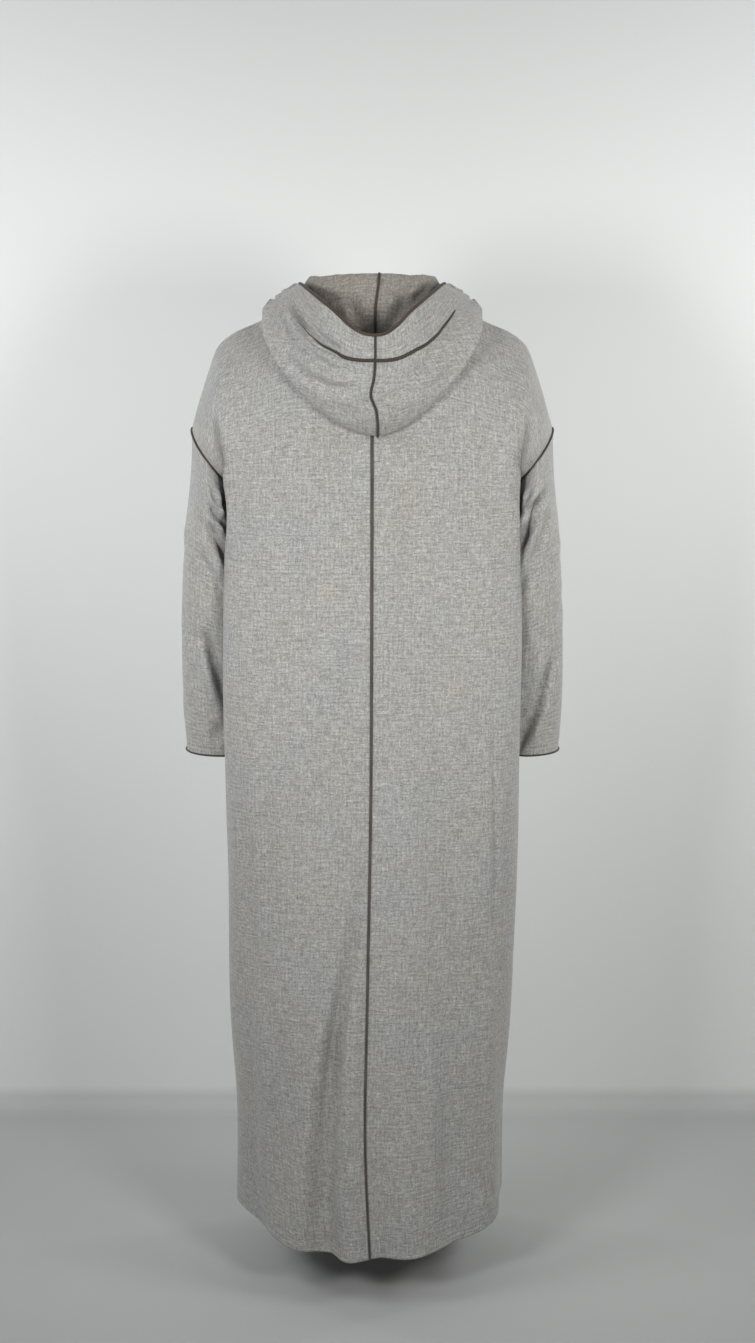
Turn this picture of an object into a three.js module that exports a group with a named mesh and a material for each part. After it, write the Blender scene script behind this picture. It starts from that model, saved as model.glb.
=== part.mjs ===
// A hooded robe in its worn form, without its wearer, with the hood hanging down the back.
// Millimetres. +Z is up, +Y is the back and +X is the wearer's left. The origin lies between the
// shoulders, at the level of the neck seam. Each piece of cloth is a wall of its own with a narrow
// gap at its seams, and each cord lies on the walls that it covers.
import * as THREE from 'three';

// ---- sizes -------------------------------------------------------------------------------------
const CLOTH = 2.0;               // thickness of each wall
const SEAM_GAP = 0.3;            // between two pieces at a seam
const BENT_GAP = 1.0;            // under a cord that turns round a bend
const HEM_Z = -1395;
const HEM_RISE = { high: 34, from: -1100, power: 2.5 };   // at the side seams, and where it starts
const UNDERARM_Z = -262;

// Neckline: half width, depths to the back and the front, and its height at each of them.
const NECK = { side: 85, back: 55, front: 85, backZ: 0, sideZ: 6, frontZ: -50 };
const SLIT = { bottom: -195, open: 9 };          // neck slit in the front

// Shoulder seam from the neck to the armhole.
const SHOULDER = [
  { x: 85, z: 6 }, { x: 118, z: -10 }, { x: 160, z: -33 }, { x: 198, z: -50 },
  { x: 220, z: -68 }, { x: 235, z: -105 }, { x: 248, z: -145 }, { x: 259, z: -185 },
];
const SHOULDER_ROUND = 3.0;      // how quickly the shoulder turns down into the back

// The armhole is a leaning ellipse: its middle, its reach outwards and up, and its half depth.
const ARMHOLE = { x: 232, z: -223.5, outX: 27, outZ: 38.5, deep: 92 };
const ARMPIT_GAP = 2.4;          // the two walls stand back to back there
const DROP_START = 0.6;          // share of a row at which the cloth starts to cover the arm
// The soft valley between the back and the arm: its share of a row, half width and depth.
const ARM_VALLEY = { at: 0.74, wide: 0.06, deep: 6 };

// Level sections of the body: half width at the corners, depths to the back and the front,
// squareness, and how fully each side is pushed in by the arm that hangs beside it.
const BODY = [
  { z: -262, wide: 221, back: 125, front: 131, square: 4.0, hollow: 0.42 },
  { z: -300, wide: 221, back: 124, front: 131, square: 4.0, hollow: 0.9 },
  { z: -380, wide: 221, back: 123, front: 132, square: 4.0, hollow: 1 },
  { z: -560, wide: 221, back: 124, front: 136, square: 4.0, hollow: 1 },
  { z: -690, wide: 219, back: 128, front: 140, square: 3.6, hollow: 1 },
  { z: -800, wide: 217, back: 132, front: 144, square: 3.0, hollow: 0.3 },
  { z: -920, wide: 215, back: 137, front: 148, square: 2.6, hollow: 0 },
  { z: -1060, wide: 212, back: 144, front: 153, square: 2.4, hollow: 0 },
  { z: -1215, wide: 203, back: 155, front: 159, square: 2.2, hollow: 0 },
  { z: -1395, wide: 202, back: 167, front: 165, square: 2.2, hollow: 0 },
];
const SLEEVE_CLEAR = 6;          // between a sleeve and the side that it hangs beside
const HOLLOW_SOFT = 10;          // rounding of the hollow's edges

// Hanging folds, by their angle from the centre back (positive to the wearer's left) at the top
// and at the hem, where they start, and their height and half width in degrees at the hem.
const FOLDS = [
  { top: 3, hem: 10, start: -740, high: 16, wide: 7 },
  { top: 7, hem: 21, start: -760, high: -14, wide: 8 },
  { top: -2, hem: -6, start: -900, high: -6, wide: 5 },
  { top: -12, hem: -21, start: -860, high: 9, wide: 9 },
  { top: 36, hem: 42, start: -700, high: 9, wide: 11 },
  { top: 66, hem: 62, start: -840, high: -9, wide: 9 },
  { top: 84, hem: 82, start: -760, high: 8, wide: 10 },
  { top: -36, hem: -43, start: -720, high: -9, wide: 9 },
  { top: -60, hem: -62, start: -800, high: 8, wide: 10 },
  { top: -88, hem: -84, start: -780, high: -7, wide: 10 },
  { top: 108, hem: 106, start: -760, high: -10, wide: 9 },
  { top: 132, hem: 128, start: -620, high: 11, wide: 10 },
  { top: 152, hem: 147, start: -560, high: -12, wide: 8 },
  { top: 170, hem: 166, start: -500, high: 9, wide: 8 },
  { top: -170, hem: -173, start: -620, high: -8, wide: 7 },
  { top: -153, hem: -155, start: -540, high: 12, wide: 9 },
  { top: -134, hem: -132, start: -640, high: -10, wide: 9 },
  { top: -112, hem: -110, start: -760, high: 9, wide: 10 },
];
// How far the centre-back seam wanders to the wearer's left.
const SEAM_LINE = [
  { z: -262, x: 0 }, { z: -700, x: 2 }, { z: -980, x: 7 }, { z: -1215, x: 11 }, { z: -1395, x: 4 },
];

// Level sections of a sleeve: its middle and its half width and half depth.
const SLEEVE = [
  { z: -185, x: 226, y: 0, wide: 40, deep: 88 },
  { z: -255, x: 227, y: -2, wide: 40, deep: 86 },
  { z: -300, x: 228.5, y: -4, wide: 41, deep: 84 },
  { z: -360, x: 226, y: -8, wide: 48.5, deep: 78 },
  { z: -436, x: 225, y: -13, wide: 54, deep: 71 },
  { z: -511, x: 224.5, y: -17, wide: 56.5, deep: 64 },
  { z: -586, x: 224.5, y: -20, wide: 56.5, deep: 58 },
  { z: -666, x: 222.5, y: -24, wide: 55, deep: 52 },
];
const CUFF_Z = -666;
const SLEEVE_SETTLE = 0.3;       // share of the sleeve over which it turns to hang straight
// Sleeve creases: side, start and end (angle from the outer line to the back, height), depth, width.
const CREASES = [
  { side: 1, a0: 76, z0: -492, a1: 112, z1: -590, deep: 7, wide: 20 },
  { side: 1, a0: 118, z0: -300, a1: 120, z1: -362, deep: 5, wide: 18 },
  { side: 1, a0: 66, z0: -392, a1: 100, z1: -425, deep: 3, wide: 17 },
  { side: 1, a0: -60, z0: -400, a1: -118, z1: -345, deep: 6, wide: 20 },
  { side: 1, a0: -48, z0: -560, a1: -112, z1: -505, deep: 5, wide: 20 },
  { side: -1, a0: 60, z0: -562, a1: 106, z1: -648, deep: 7, wide: 20 },
  { side: -1, a0: 80, z0: -305, a1: 124, z1: -348, deep: 7, wide: 20 },
  { side: -1, a0: 66, z0: -362, a1: 102, z1: -410, deep: 3, wide: 17 },
  { side: -1, a0: -55, z0: -430, a1: -118, z1: -370, deep: 6, wide: 20 },
  { side: -1, a0: -50, z0: -600, a1: -110, z1: -540, deep: 5, wide: 20 },
];

// Hood sections round the neck, by their angle from the centre back: the height of the roll above
// the neck seam, the lowest point of the bag, the rim, the bag's thickness and the band's width.
const HOOD = [
  { angle: 0, lift: 34, bx: 0, by: 130, bz: -187, rx: 0, ry: 165, rz: -50, bag: 32, band: 34 },
  { angle: 11, lift: 33.5, bx: 23, by: 129, bz: -181, rx: 16, ry: 164, rz: -47, bag: 32, band: 37 },
  { angle: 22, lift: 32, bx: 45, by: 128, bz: -171, rx: 33, ry: 159, rz: -36, bag: 31, band: 45 },
  { angle: 33, lift: 30.5, bx: 64, by: 126, bz: -158, rx: 49, ry: 152, rz: -20, bag: 27, band: 53 },
  { angle: 44, lift: 29, bx: 82, by: 122, bz: -143, rx: 65, ry: 140, rz: -6, bag: 22, band: 58 },
  { angle: 66, lift: 26, bx: 118, by: 110, bz: -106, rx: 83, ry: 98, rz: 7, bag: 13, band: 50 },
  { angle: 86, lift: 24, bx: 149, by: 74, bz: -58, rx: 97, ry: 54, rz: 16, bag: 7, band: 38 },
  { angle: 108, lift: 22, bx: 154, by: 4, bz: -25, rx: 103, ry: 2, rz: 16, bag: 7, band: 28 },
  { angle: 132, lift: 20, bx: 118, by: -78, bz: -38, rx: 92, ry: -66, rz: 1, bag: 8, band: 22 },
  { angle: 154, lift: 17, bx: 68, by: -116, bz: -74, rx: 58, ry: -100, rz: -26, bag: 12, band: 18 },
  { angle: 172, lift: 14, bx: 26, by: -120, bz: -92, rx: 24, ry: -112, rz: -46, bag: 11, band: 12 },
];
const HOOD_CLEAR = 6.5;          // between the middles of the hood's wall and the robe's
const HOOD_STEP = 15;            // degrees between sections, as on the neckline
const HOOD_END = 172.5;          // the last section, beside the neck slit

const CORD = { half: 2.0, thick: 1.4, crown: 0.5 };   // a flat cord: half width, height, rise
const RIM_CORD = 2.2;            // radius of the round cord on the hood's rim
const FOOT_ROUND = 6;             // from the lying layer to the foot of the bag, where it turns
const SWELL = [{ share: 0.12, part: 0.5 }, { share: 0.4, part: 0.64 }, { share: 0.7, part: 0.42 }];
const BAND_GAP = 0.8;            // between the band and the hood
const OUTER_CLEAR = 6.5;         // between the middles of the hood's two layers, at least

// ---- grid sizes --------------------------------------------------------------------------------
const ACROSS = 15;               // steps from a centre line to a side seam
const NECK_STEPS = 6;            // of them along the neckline
const YOKE_ROWS = 10;            // rows from the shoulder to the underarm, and half a sleeve's ring
const SKIRT_ROWS = 20;
const SLEEVE_ROWS = 13;
const HOOD_ROWS = 21;
const BAND_ROWS = 3;             // of them under the band
const BAG_ROW = 11;              // the row at the foot of the bag
const ROLL_ROW = 1;              // the row on the neck's side of the roll
const RIM_SIDES = 6;
const CORD_ROWS = 7;             // rows from the shoulder that the armhole cord covers
const CURVE_STEPS = 80;          // steps along a level section and along the shoulder seam
const HOOD_STEPS = 120;          // steps along a section of the hood
const LYING = 22;                // the step at which it comes down onto the robe
const TURN = { from: 76, to: 88 };   // the steps over which it becomes the outer layer

const COLOURS = {
  cloth: { color: 0x9a9691, roughness: 0.92, metalness: 0 },
  cord: { color: 0x3d3531, roughness: 0.85, metalness: 0 },
};

// ---- small tools -------------------------------------------------------------------------------
const rad = THREE.MathUtils.degToRad;
const deg = THREE.MathUtils.radToDeg;
const { clamp, lerp, smoothstep } = THREE.MathUtils;
const vec = (x, y, z) => new THREE.Vector3(x, y, z);

function hermite(q, h, y0, y1, s0, s1) {
  const a = (1 + 2 * q) * (1 - q) ** 2;
  const b = q * (1 - q) ** 2;
  return a * y0 + (1 - a) * y1 + h * (b * s0 - q * q * (1 - q) * s1);
}

// A smooth curve through one column of a table, read by another.
function graph(table, key, column) {
  const xs = table.map((row) => row[key]);
  const ys = table.map((row) => row[column]);
  const last = xs.length - 1;
  const slopes = xs.map((_, i) => {
    const a = Math.max(i - 1, 0);
    const b = Math.min(i + 1, last);
    return (ys[b] - ys[a]) / (xs[b] - xs[a]);
  });
  const way = Math.sign(xs[1] - xs[0]);
  return (x) => {
    let i = 0;
    while (i < last - 1 && (x - xs[i + 1]) * way > 0) i += 1;
    const h = xs[i + 1] - xs[i];
    return hermite(clamp((x - xs[i]) / h, 0, 1), h, ys[i], ys[i + 1], slopes[i], slopes[i + 1]);
  };
}

// The point at a share of a path's length.
function along(path, share) {
  const lengths = [0];
  for (let i = 1; i < path.length; i += 1) {
    lengths.push(lengths[i - 1] + path[i].distanceTo(path[i - 1]));
  }
  const want = clamp(share, 0, 1) * lengths[path.length - 1];
  let i = 1;
  while (i < path.length - 1 && lengths[i] < want) i += 1;
  const q = (want - lengths[i - 1]) / (lengths[i] - lengths[i - 1]);
  return path[i - 1].clone().lerp(path[i], q);
}

// A smooth path through a few points.
function smoothPath(points, count) {
  return new THREE.CatmullRomCurve3(points, false, 'centripetal').getPoints(count);
}

// The unit normal of a surface given as a function of two numbers.
function normalOf(surface, u, v, uEnd, vEnd) {
  const e = 2e-3;
  const du = surface(Math.min(u + e, uEnd), v).sub(surface(Math.max(u - e, 0), v));
  const dv = surface(u, Math.min(v + e, vEnd)).sub(surface(u, Math.max(v - e, 0)));
  return du.cross(dv).normalize();
}

// ---- surfaces ----------------------------------------------------------------------------------
const bodyGraph = {};
for (const column of ['wide', 'back', 'front', 'square', 'hollow']) {
  bodyGraph[column] = graph(BODY, 'z', column);
}
const sleeveGraph = {};
for (const column of ['x', 'y', 'wide', 'deep']) sleeveGraph[column] = graph(SLEEVE, 'z', column);
const seamX = graph(SEAM_LINE, 'z', 'x');

// How far the folds stand out at an angle from the centre back and a height.
function foldHeight(angle, z) {
  let sum = 0;
  for (const fold of FOLDS) {
    const grown = clamp((fold.start - z) / (fold.start - HEM_Z), 0, 1);
    if (grown === 0) continue;
    let off = angle - lerp(fold.top, fold.hem, grown);
    off -= 360 * Math.round(off / 360);
    const wide = fold.wide * lerp(0.7, 1, grown);
    sum += fold.high * grown ** 1.3 * Math.exp(-((off / wide) ** 2));
  }
  return sum;
}

// The lesser of two numbers, with a soft change from one to the other.
function softLeast(a, b, soft) {
  return (a + b - Math.hypot(a - b, soft)) / 2;
}

// A quarter of a level section, from the centre line to the side seam. face is 1 at the back.
const quarters = new Map();
function quarter(face, z) {
  const key = `${face} ${z.toFixed(4)}`;
  if (!quarters.has(key)) {
    const power = 2 / bodyGraph.square(z);
    const wide = bodyGraph.wide(z);
    const deep = face > 0 ? bodyGraph.back(z) : bodyGraph.front(z);
    const path = [];
    for (let i = 0; i <= CURVE_STEPS; i += 1) {
      const a = (Math.PI / 2) * (i / CURVE_STEPS);
      const y = face * deep * Math.max(Math.cos(a), 0) ** power;
      const plain = wide * Math.sin(a) ** power;
      const off = (y - sleeveGraph.y(z)) / (sleeveGraph.deep(z) + SLEEVE_CLEAR);
      const arm = (sleeveGraph.wide(z) + SLEEVE_CLEAR) * Math.sqrt(Math.max(1 - off * off, 0));
      const beside = softLeast(plain, sleeveGraph.x(z) - arm, HOLLOW_SOFT);
      path.push(vec(lerp(plain, beside, clamp(bodyGraph.hollow(z), 0, 1)), y, z));
    }
    quarters.set(key, path);
  }
  return quarters.get(key);
}

function skirt(side, face, u, z) {
  const p = along(quarter(face, z), u);
  const angle = deg(Math.atan2(side * p.x, p.y));
  const out = 1 + foldHeight(angle, z) / Math.hypot(p.x, p.y);
  p.x *= side * out;
  p.y *= out;
  const low = clamp((HEM_RISE.from - z) / (HEM_RISE.from - HEM_Z), 0, 1);
  p.z += HEM_RISE.high * low ** 2 * Math.min(Math.abs(p.x) / bodyGraph.wide(z), 1) ** HEM_RISE.power;
  if (face > 0) p.x += seamX(z) * Math.max(1 - Math.abs(p.x) / 180, 0) ** 2;
  return p;
}

function neckPoint(face, share) {
  const a = share * (Math.PI / 2);
  const z = lerp(face > 0 ? NECK.backZ : NECK.frontZ, NECK.sideZ, Math.sin(a) ** 1.6);
  const deep = face > 0 ? NECK.back : NECK.front;
  return vec(NECK.side * Math.sin(a), face * deep * Math.cos(a), z);
}

const shoulderPath = smoothPath(SHOULDER.map((p) => vec(p.x, 0, p.z)), CURVE_STEPS);
const neckShare = NECK_STEPS / ACROSS;
function topEdge(face, u) {
  if (u < neckShare) return neckPoint(face, u / neckShare);
  return along(shoulderPath, (u - neckShare) / (1 - neckShare));
}

// The armhole at an angle from its outermost point, positive towards the back.
function armhole(angle) {
  const { x, z, outX, outZ, deep } = ARMHOLE;
  return vec(x + outX * Math.cos(angle), deep * Math.sin(angle), z + outZ * Math.cos(angle));
}

// From the neckline and shoulder seam (t 0) to the underarm (t 1).
function yoke(side, face, u, t) {
  const blend = (share) => {
    const a = topEdge(face, share);
    const b = skirt(1, face, share, UNDERARM_Z);
    const round = 1 - (1 - t) ** SHOULDER_ROUND;
    return vec(lerp(a.x, b.x, t), lerp(a.y, b.y, round), lerp(a.z, b.z, t));
  };
  const p = blend(u);
  const drop = armhole(face * Math.PI * t).sub(blend(1));
  p.addScaledVector(drop, smoothstep(u, DROP_START, 1));
  const valley = Math.exp(-(((u - ARM_VALLEY.at) / ARM_VALLEY.wide) ** 2));
  const grown = smoothstep(t, 0.3, 0.6) * (1 - smoothstep(t, 0.8, 1));
  p.y -= face * ARM_VALLEY.deep * valley * grown;
  p.x *= side;
  return p;
}

// One quarter of the robe: v is 0 to 1 over the yoke and 1 to 2 from the underarm to the hem.
function robe(side, face, u, v) {
  if (v <= 1) return yoke(side, face, u, v);
  return skirt(side, face, u, lerp(UNDERARM_Z, HEM_Z, v - 1));
}

function creaseDepth(side, angle, z) {
  let sum = 0;
  for (const crease of CREASES) {
    if (crease.side !== side) continue;
    const toMm = rad(1) * 65;
    const ax = (crease.a1 - crease.a0) * toMm;
    const az = crease.z1 - crease.z0;
    const px = (deg(angle) - crease.a0) * toMm;
    const pz = z - crease.z0;
    const q = clamp((px * ax + pz * az) / (ax * ax + az * az), 0, 1);
    sum += crease.deep * Math.exp(-(((px - q * ax) ** 2 + (pz - q * az) ** 2) / crease.wide ** 2));
  }
  return sum;
}

// A sleeve: angle as on the armhole, s from 0 at the armhole to 1 at the cuff.
const ARM_OUT = vec(ARMHOLE.outZ, 0, -ARMHOLE.outX).normalize();
function sleeve(side, angle, s) {
  const start = armhole(angle);
  const narrow = smoothstep(-Math.cos(angle), -0.3, 0.6);
  start.addScaledVector(ARM_OUT, lerp(SEAM_GAP, ARMPIT_GAP, narrow));
  const z = lerp(start.z, CUFF_Z, s);
  const inward = creaseDepth(side, angle, z);
  const hang = vec(
    sleeveGraph.x(z) + (sleeveGraph.wide(z) - inward) * Math.cos(angle),
    sleeveGraph.y(z) + (sleeveGraph.deep(z) - inward) * Math.sin(angle),
    z,
  );
  const p = start.lerp(hang, smoothstep(s, 0, SLEEVE_SETTLE));
  return vec(side * p.x, p.y, z);
}

// Points of the yoke with their normals, which the hood is kept clear of.
const YOKE_SAMPLES = 36;
const yokePoints = [];
for (const face of [1, -1]) {
  for (let i = 0; i <= YOKE_SAMPLES; i += 1) {
    for (let j = 0; j <= YOKE_SAMPLES; j += 1) {
      const at = (u, t) => yoke(1, face, u, t);
      const [u, t] = [i / YOKE_SAMPLES, j / YOKE_SAMPLES];
      yokePoints.push({ p: at(u, t), normal: normalOf(at, u, t, 1, 1).multiplyScalar(face) });
    }
  }
}
function clearOfYoke(p, clear) {
  let best = null;
  let least = Infinity;
  for (const point of yokePoints) {
    const d = point.p.distanceToSquared(p);
    if (d < least) {
      least = d;
      best = point;
    }
  }
  const height = p.clone().sub(best.p).dot(best.normal);
  const out = p.clone();
  if (height < clear) out.addScaledVector(best.normal, clear - height);
  return { p: out, normal: best.normal };
}

const hoodGraph = {};
for (const column of ['lift', 'bx', 'by', 'bz', 'rx', 'ry', 'rz', 'bag', 'band']) {
  hoodGraph[column] = graph(HOOD, 'angle', column);
}

// One section of the hood, from the neck seam over the roll, down to the foot of the bag and up
// again to the rim.
const hoodPaths = new Map();
function hoodPath(angle) {
  const key = angle.toFixed(4);
  if (!hoodPaths.has(key)) {
    const face = angle <= 90 ? 1 : -1;
    const neck = neckPoint(face, face > 0 ? angle / 90 : (180 - angle) / 90);
    const out = vec(neck.x, neck.y, 0).normalize();
    const lift = hoodGraph.lift(angle);
    const start = neck.clone().addScaledVector(out, -0.8).add(vec(0, 0, 1.8));
    const roll = neck.clone().add(vec(0, 0, lift)).addScaledVector(out, 3);
    const fall = roll.clone().addScaledVector(out, 9).add(vec(0, 0, -12));
    const foot = vec(hoodGraph.bx(angle), hoodGraph.by(angle), hoodGraph.bz(angle));
    const rim = vec(hoodGraph.rx(angle), hoodGraph.ry(angle), hoodGraph.rz(angle));
    const bag = hoodGraph.bag(angle);
    const lying = (share) => clearOfYoke(fall.clone().lerp(foot, share), HOOD_CLEAR).p;
    const footAt = clearOfYoke(foot, HOOD_CLEAR + Math.min(FOOT_ROUND, bag * 0.8));
    const outer = ({ share, part }) => footAt.p.clone().lerp(rim, share)
      .addScaledVector(footAt.normal, bag * part);
    const path = smoothPath([
      start,
      start.clone().lerp(roll, 0.5).addScaledVector(out, -3),
      roll,
      fall,
      lying(0.3),
      lying(0.6),
      lying(0.88),
      footAt.p,
      ...SWELL.map(outer),
      rim,
    ], HOOD_STEPS);
    hoodPaths.set(key, path.map((p, i) => {
      const clear = HOOD_CLEAR + OUTER_CLEAR * smoothstep(i, TURN.from, TURN.to);
      return i < LYING ? p : clearOfYoke(p, clear).p;
    }));
  }
  return hoodPaths.get(key);
}
function hood(side, angle, s) {
  const p = along(hoodPath(angle), s);
  p.x *= side;
  return p;
}

// ---- solids ------------------------------------------------------------------------------------
const model = new THREE.Group();

function addMesh(name, corners, faces, look) {
  let volume = 0;
  for (const [a, b, c] of faces) {
    volume += corners[a].dot(corners[b].clone().cross(corners[c]));
  }
  const index = volume > 0 ? faces.flat() : faces.flatMap(([a, b, c]) => [a, c, b]);
  const geometry = new THREE.BufferGeometry();
  geometry.setAttribute(
    'position',
    new THREE.Float32BufferAttribute(corners.flatMap((p) => [p.x, p.y, p.z]), 3),
  );
  geometry.setIndex(index);
  geometry.computeVertexNormals();
  const mesh = new THREE.Mesh(geometry, new THREE.MeshStandardMaterial(COLOURS[look]));
  mesh.name = name;
  model.add(mesh);
}

// A wall of cloth from a grid of points and normals. A round grid closes on itself.
function addSheet(name, grid, round = false) {
  const rows = grid.length;
  const across = grid[0].length;
  const corners = [];
  for (const way of [0.5, -0.5]) {
    for (const row of grid) {
      for (const { p, normal } of row) {
        corners.push(p.clone().addScaledVector(normal, way * CLOTH));
      }
    }
  }
  const at = (layer, i, j) => (layer * rows + i) * across + (j % across);
  const faces = [];
  const quad = (a, b, c, d) => faces.push([a, b, c], [a, c, d]);
  const steps = round ? across : across - 1;
  for (let i = 0; i < rows - 1; i += 1) {
    for (let j = 0; j < steps; j += 1) {
      quad(at(0, i, j), at(0, i + 1, j), at(0, i + 1, j + 1), at(0, i, j + 1));
      quad(at(1, i, j), at(1, i, j + 1), at(1, i + 1, j + 1), at(1, i + 1, j));
    }
  }
  for (let j = 0; j < steps; j += 1) {
    quad(at(0, 0, j), at(0, 0, j + 1), at(1, 0, j + 1), at(1, 0, j));
    quad(at(0, rows - 1, j + 1), at(0, rows - 1, j), at(1, rows - 1, j), at(1, rows - 1, j + 1));
  }
  for (let i = 0; i < rows - 1 && !round; i += 1) {
    quad(at(0, i + 1, 0), at(0, i, 0), at(1, i, 0), at(1, i + 1, 0));
    quad(at(0, i, steps), at(0, i + 1, steps), at(1, i + 1, steps), at(1, i, steps));
  }
  addMesh(name, corners, faces, 'cloth');
}

// A cord from a list of sections with the same number of corners.
function addBar(name, sections, round = false) {
  const count = sections[0].length;
  const at = (i, k) => (i % sections.length) * count + (k % count);
  const faces = [];
  for (let i = 0; i < sections.length - (round ? 0 : 1); i += 1) {
    for (let k = 0; k < count; k += 1) {
      faces.push([at(i, k), at(i + 1, k), at(i + 1, k + 1)]);
      faces.push([at(i, k), at(i + 1, k + 1), at(i, k + 1)]);
    }
  }
  for (let k = 1; k < count - 1 && !round; k += 1) {
    const end = sections.length - 1;
    faces.push([at(0, 0), at(0, k), at(0, k + 1)], [at(end, 0), at(end, k + 1), at(end, k)]);
  }
  addMesh(name, sections.flat(), faces, 'cord');
}

// The section of a flat cord over a seam: a point on the wall at each side and one on the seam.
function cordSection(left, middle, right, gap = SEAM_GAP) {
  const low = CLOTH / 2 + gap;
  const high = low + CORD.thick;
  const lifted = ({ p, normal }, height) => p.clone().addScaledVector(normal, height);
  return [
    lifted(left, low), lifted(middle, low), lifted(right, low),
    lifted(right, high), lifted(middle, high + CORD.crown), lifted(left, high),
  ];
}

// The point of a wall at a distance from one of its edges towards the next column or row.
function inFrom(edge, next, distance) {
  const share = distance / edge.p.distanceTo(next.p);
  return {
    p: edge.p.clone().lerp(next.p, share),
    normal: edge.normal.clone().lerp(next.normal, share).normalize(),
  };
}
function between(a, b) {
  return {
    p: a.p.clone().lerp(b.p, 0.5),
    normal: a.normal.clone().add(b.normal).normalize(),
  };
}

// Rows of the robe: closer at the shoulder and under the arm.
const rows = [];
for (let i = 0; i <= YOKE_ROWS; i += 1) rows.push((i / YOKE_ROWS) ** 1.2);
const yokeRows = rows.slice();
for (let i = 1; i <= SKIRT_ROWS; i += 1) rows.push(1 + (i / SKIRT_ROWS) ** 1.25);

// ---- body panels -------------------------------------------------------------------------------
const panels = {};
const SIDES = [['left', 1], ['right', -1]];
for (const [faceName, face] of [['back', 1], ['front', -1]]) {
  for (const [sideName, side] of SIDES) {
    const surface = (u, v) => robe(side, face, u, v);
    panels[`${faceName}_${sideName}`] = rows.map((v) => {
      const row = [];
      for (let j = 0; j <= ACROSS; j += 1) {
        const u = j / ACROSS;
        const normal = normalOf(surface, u, v, 1, 2).multiplyScalar(face * side);
        row.push({ p: surface(u, v), normal });
      }
      return row;
    });
  }
}

// Two walls that meet at a seam lean the same way there.
function alignSeam(pairs) {
  for (const [a, b] of pairs) {
    const normal = a.normal.clone().add(b.normal).normalize();
    a.normal = normal.clone();
    b.normal = normal.clone();
  }
}
for (const faceName of ['back', 'front']) {
  const [left, right] = [panels[`${faceName}_left`], panels[`${faceName}_right`]];
  alignSeam(left.map((row, i) => [row[0], right[i][0]]));
}
for (const [sideName] of SIDES) {
  const [back, front] = [panels[`back_${sideName}`], panels[`front_${sideName}`]];
  alignSeam(back.slice(YOKE_ROWS).map((row, i) => [row[ACROSS], front[YOKE_ROWS + i][ACROSS]]));
  alignSeam(back[0].slice(NECK_STEPS).map((corner, j) => [corner, front[0][NECK_STEPS + j]]));
}

// Each edge steps back by half the gap, and the front stands open at the neck slit.
for (const [name, grid] of Object.entries(panels)) {
  const back = SEAM_GAP / 2;
  for (let j = 0; j <= ACROSS; j += 1) grid[0][j] = inFrom(grid[0][j], grid[1][j], back);
  for (const row of grid) {
    const open = clamp((row[0].p.z - SLIT.bottom) / (NECK.frontZ - SLIT.bottom), 0, 1);
    const slit = name.startsWith('front') ? back + SLIT.open * open : back;
    row[0] = inFrom(row[0], row[1], slit);
    row[ACROSS] = inFrom(row[ACROSS], row[ACROSS - 1], back);
  }
  addSheet(name, grid);
}

const seamCord = rows.map((_, i) => {
  const [left, right] = [panels.back_left[i], panels.back_right[i]];
  return cordSection(
    inFrom(left[0], left[1], CORD.half),
    between(left[0], right[0]),
    inFrom(right[0], right[1], CORD.half),
  );
});
addBar('back_seam_cord', seamCord.slice(1));

// ---- sleeves -----------------------------------------------------------------------------------
for (const [sideName, side] of SIDES) {
  const angles = [
    ...yokeRows.map((t) => Math.PI * t),
    ...yokeRows.slice(1, -1).reverse().map((t) => -Math.PI * t),
  ];
  const grid = [];
  for (let i = 0; i <= SLEEVE_ROWS; i += 1) {
    const s = (i / SLEEVE_ROWS) ** 1.15;
    grid.push(angles.map((angle) => {
      const around = sleeve(side, angle + 1e-3, s).sub(sleeve(side, angle - 1e-3, s));
      const down = sleeve(side, angle, Math.min(s + 2e-3, 1));
      down.sub(sleeve(side, angle, Math.max(s - 2e-3, 0)));
      const normal = around.cross(down).multiplyScalar(-side).normalize();
      return { p: sleeve(side, angle, s), normal };
    }));
  }
  addSheet(`sleeve_${sideName}`, grid, true);

  // The armhole cord runs from one armpit fold round the shoulder to the other.
  const sections = [];
  const [front, back] = [panels[`front_${sideName}`], panels[`back_${sideName}`]];
  for (let i = -CORD_ROWS; i <= CORD_ROWS; i += 1) {
    const panel = (i < 0 ? front : back)[Math.abs(i)];
    const column = (i + angles.length) % angles.length;
    const onPanel = inFrom(panel[ACROSS], panel[ACROSS - 1], CORD.half);
    const onSleeve = inFrom(grid[0][column], grid[1][column], CORD.half);
    const onSeam = between(panel[ACROSS], grid[0][column]);
    sections.push(cordSection(onPanel, onSeam, onSleeve, BENT_GAP));
  }
  addBar(`armhole_cord_${sideName}`, sections);

  const last = grid[SLEEVE_ROWS];
  const above = grid[SLEEVE_ROWS - 1];
  addBar(`cuff_cord_${sideName}`, last.map((edge, j) => cordSection(
    inFrom(edge, above[j], 2 * CORD.half), inFrom(edge, above[j], CORD.half), edge,
  )), true);
}

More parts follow.
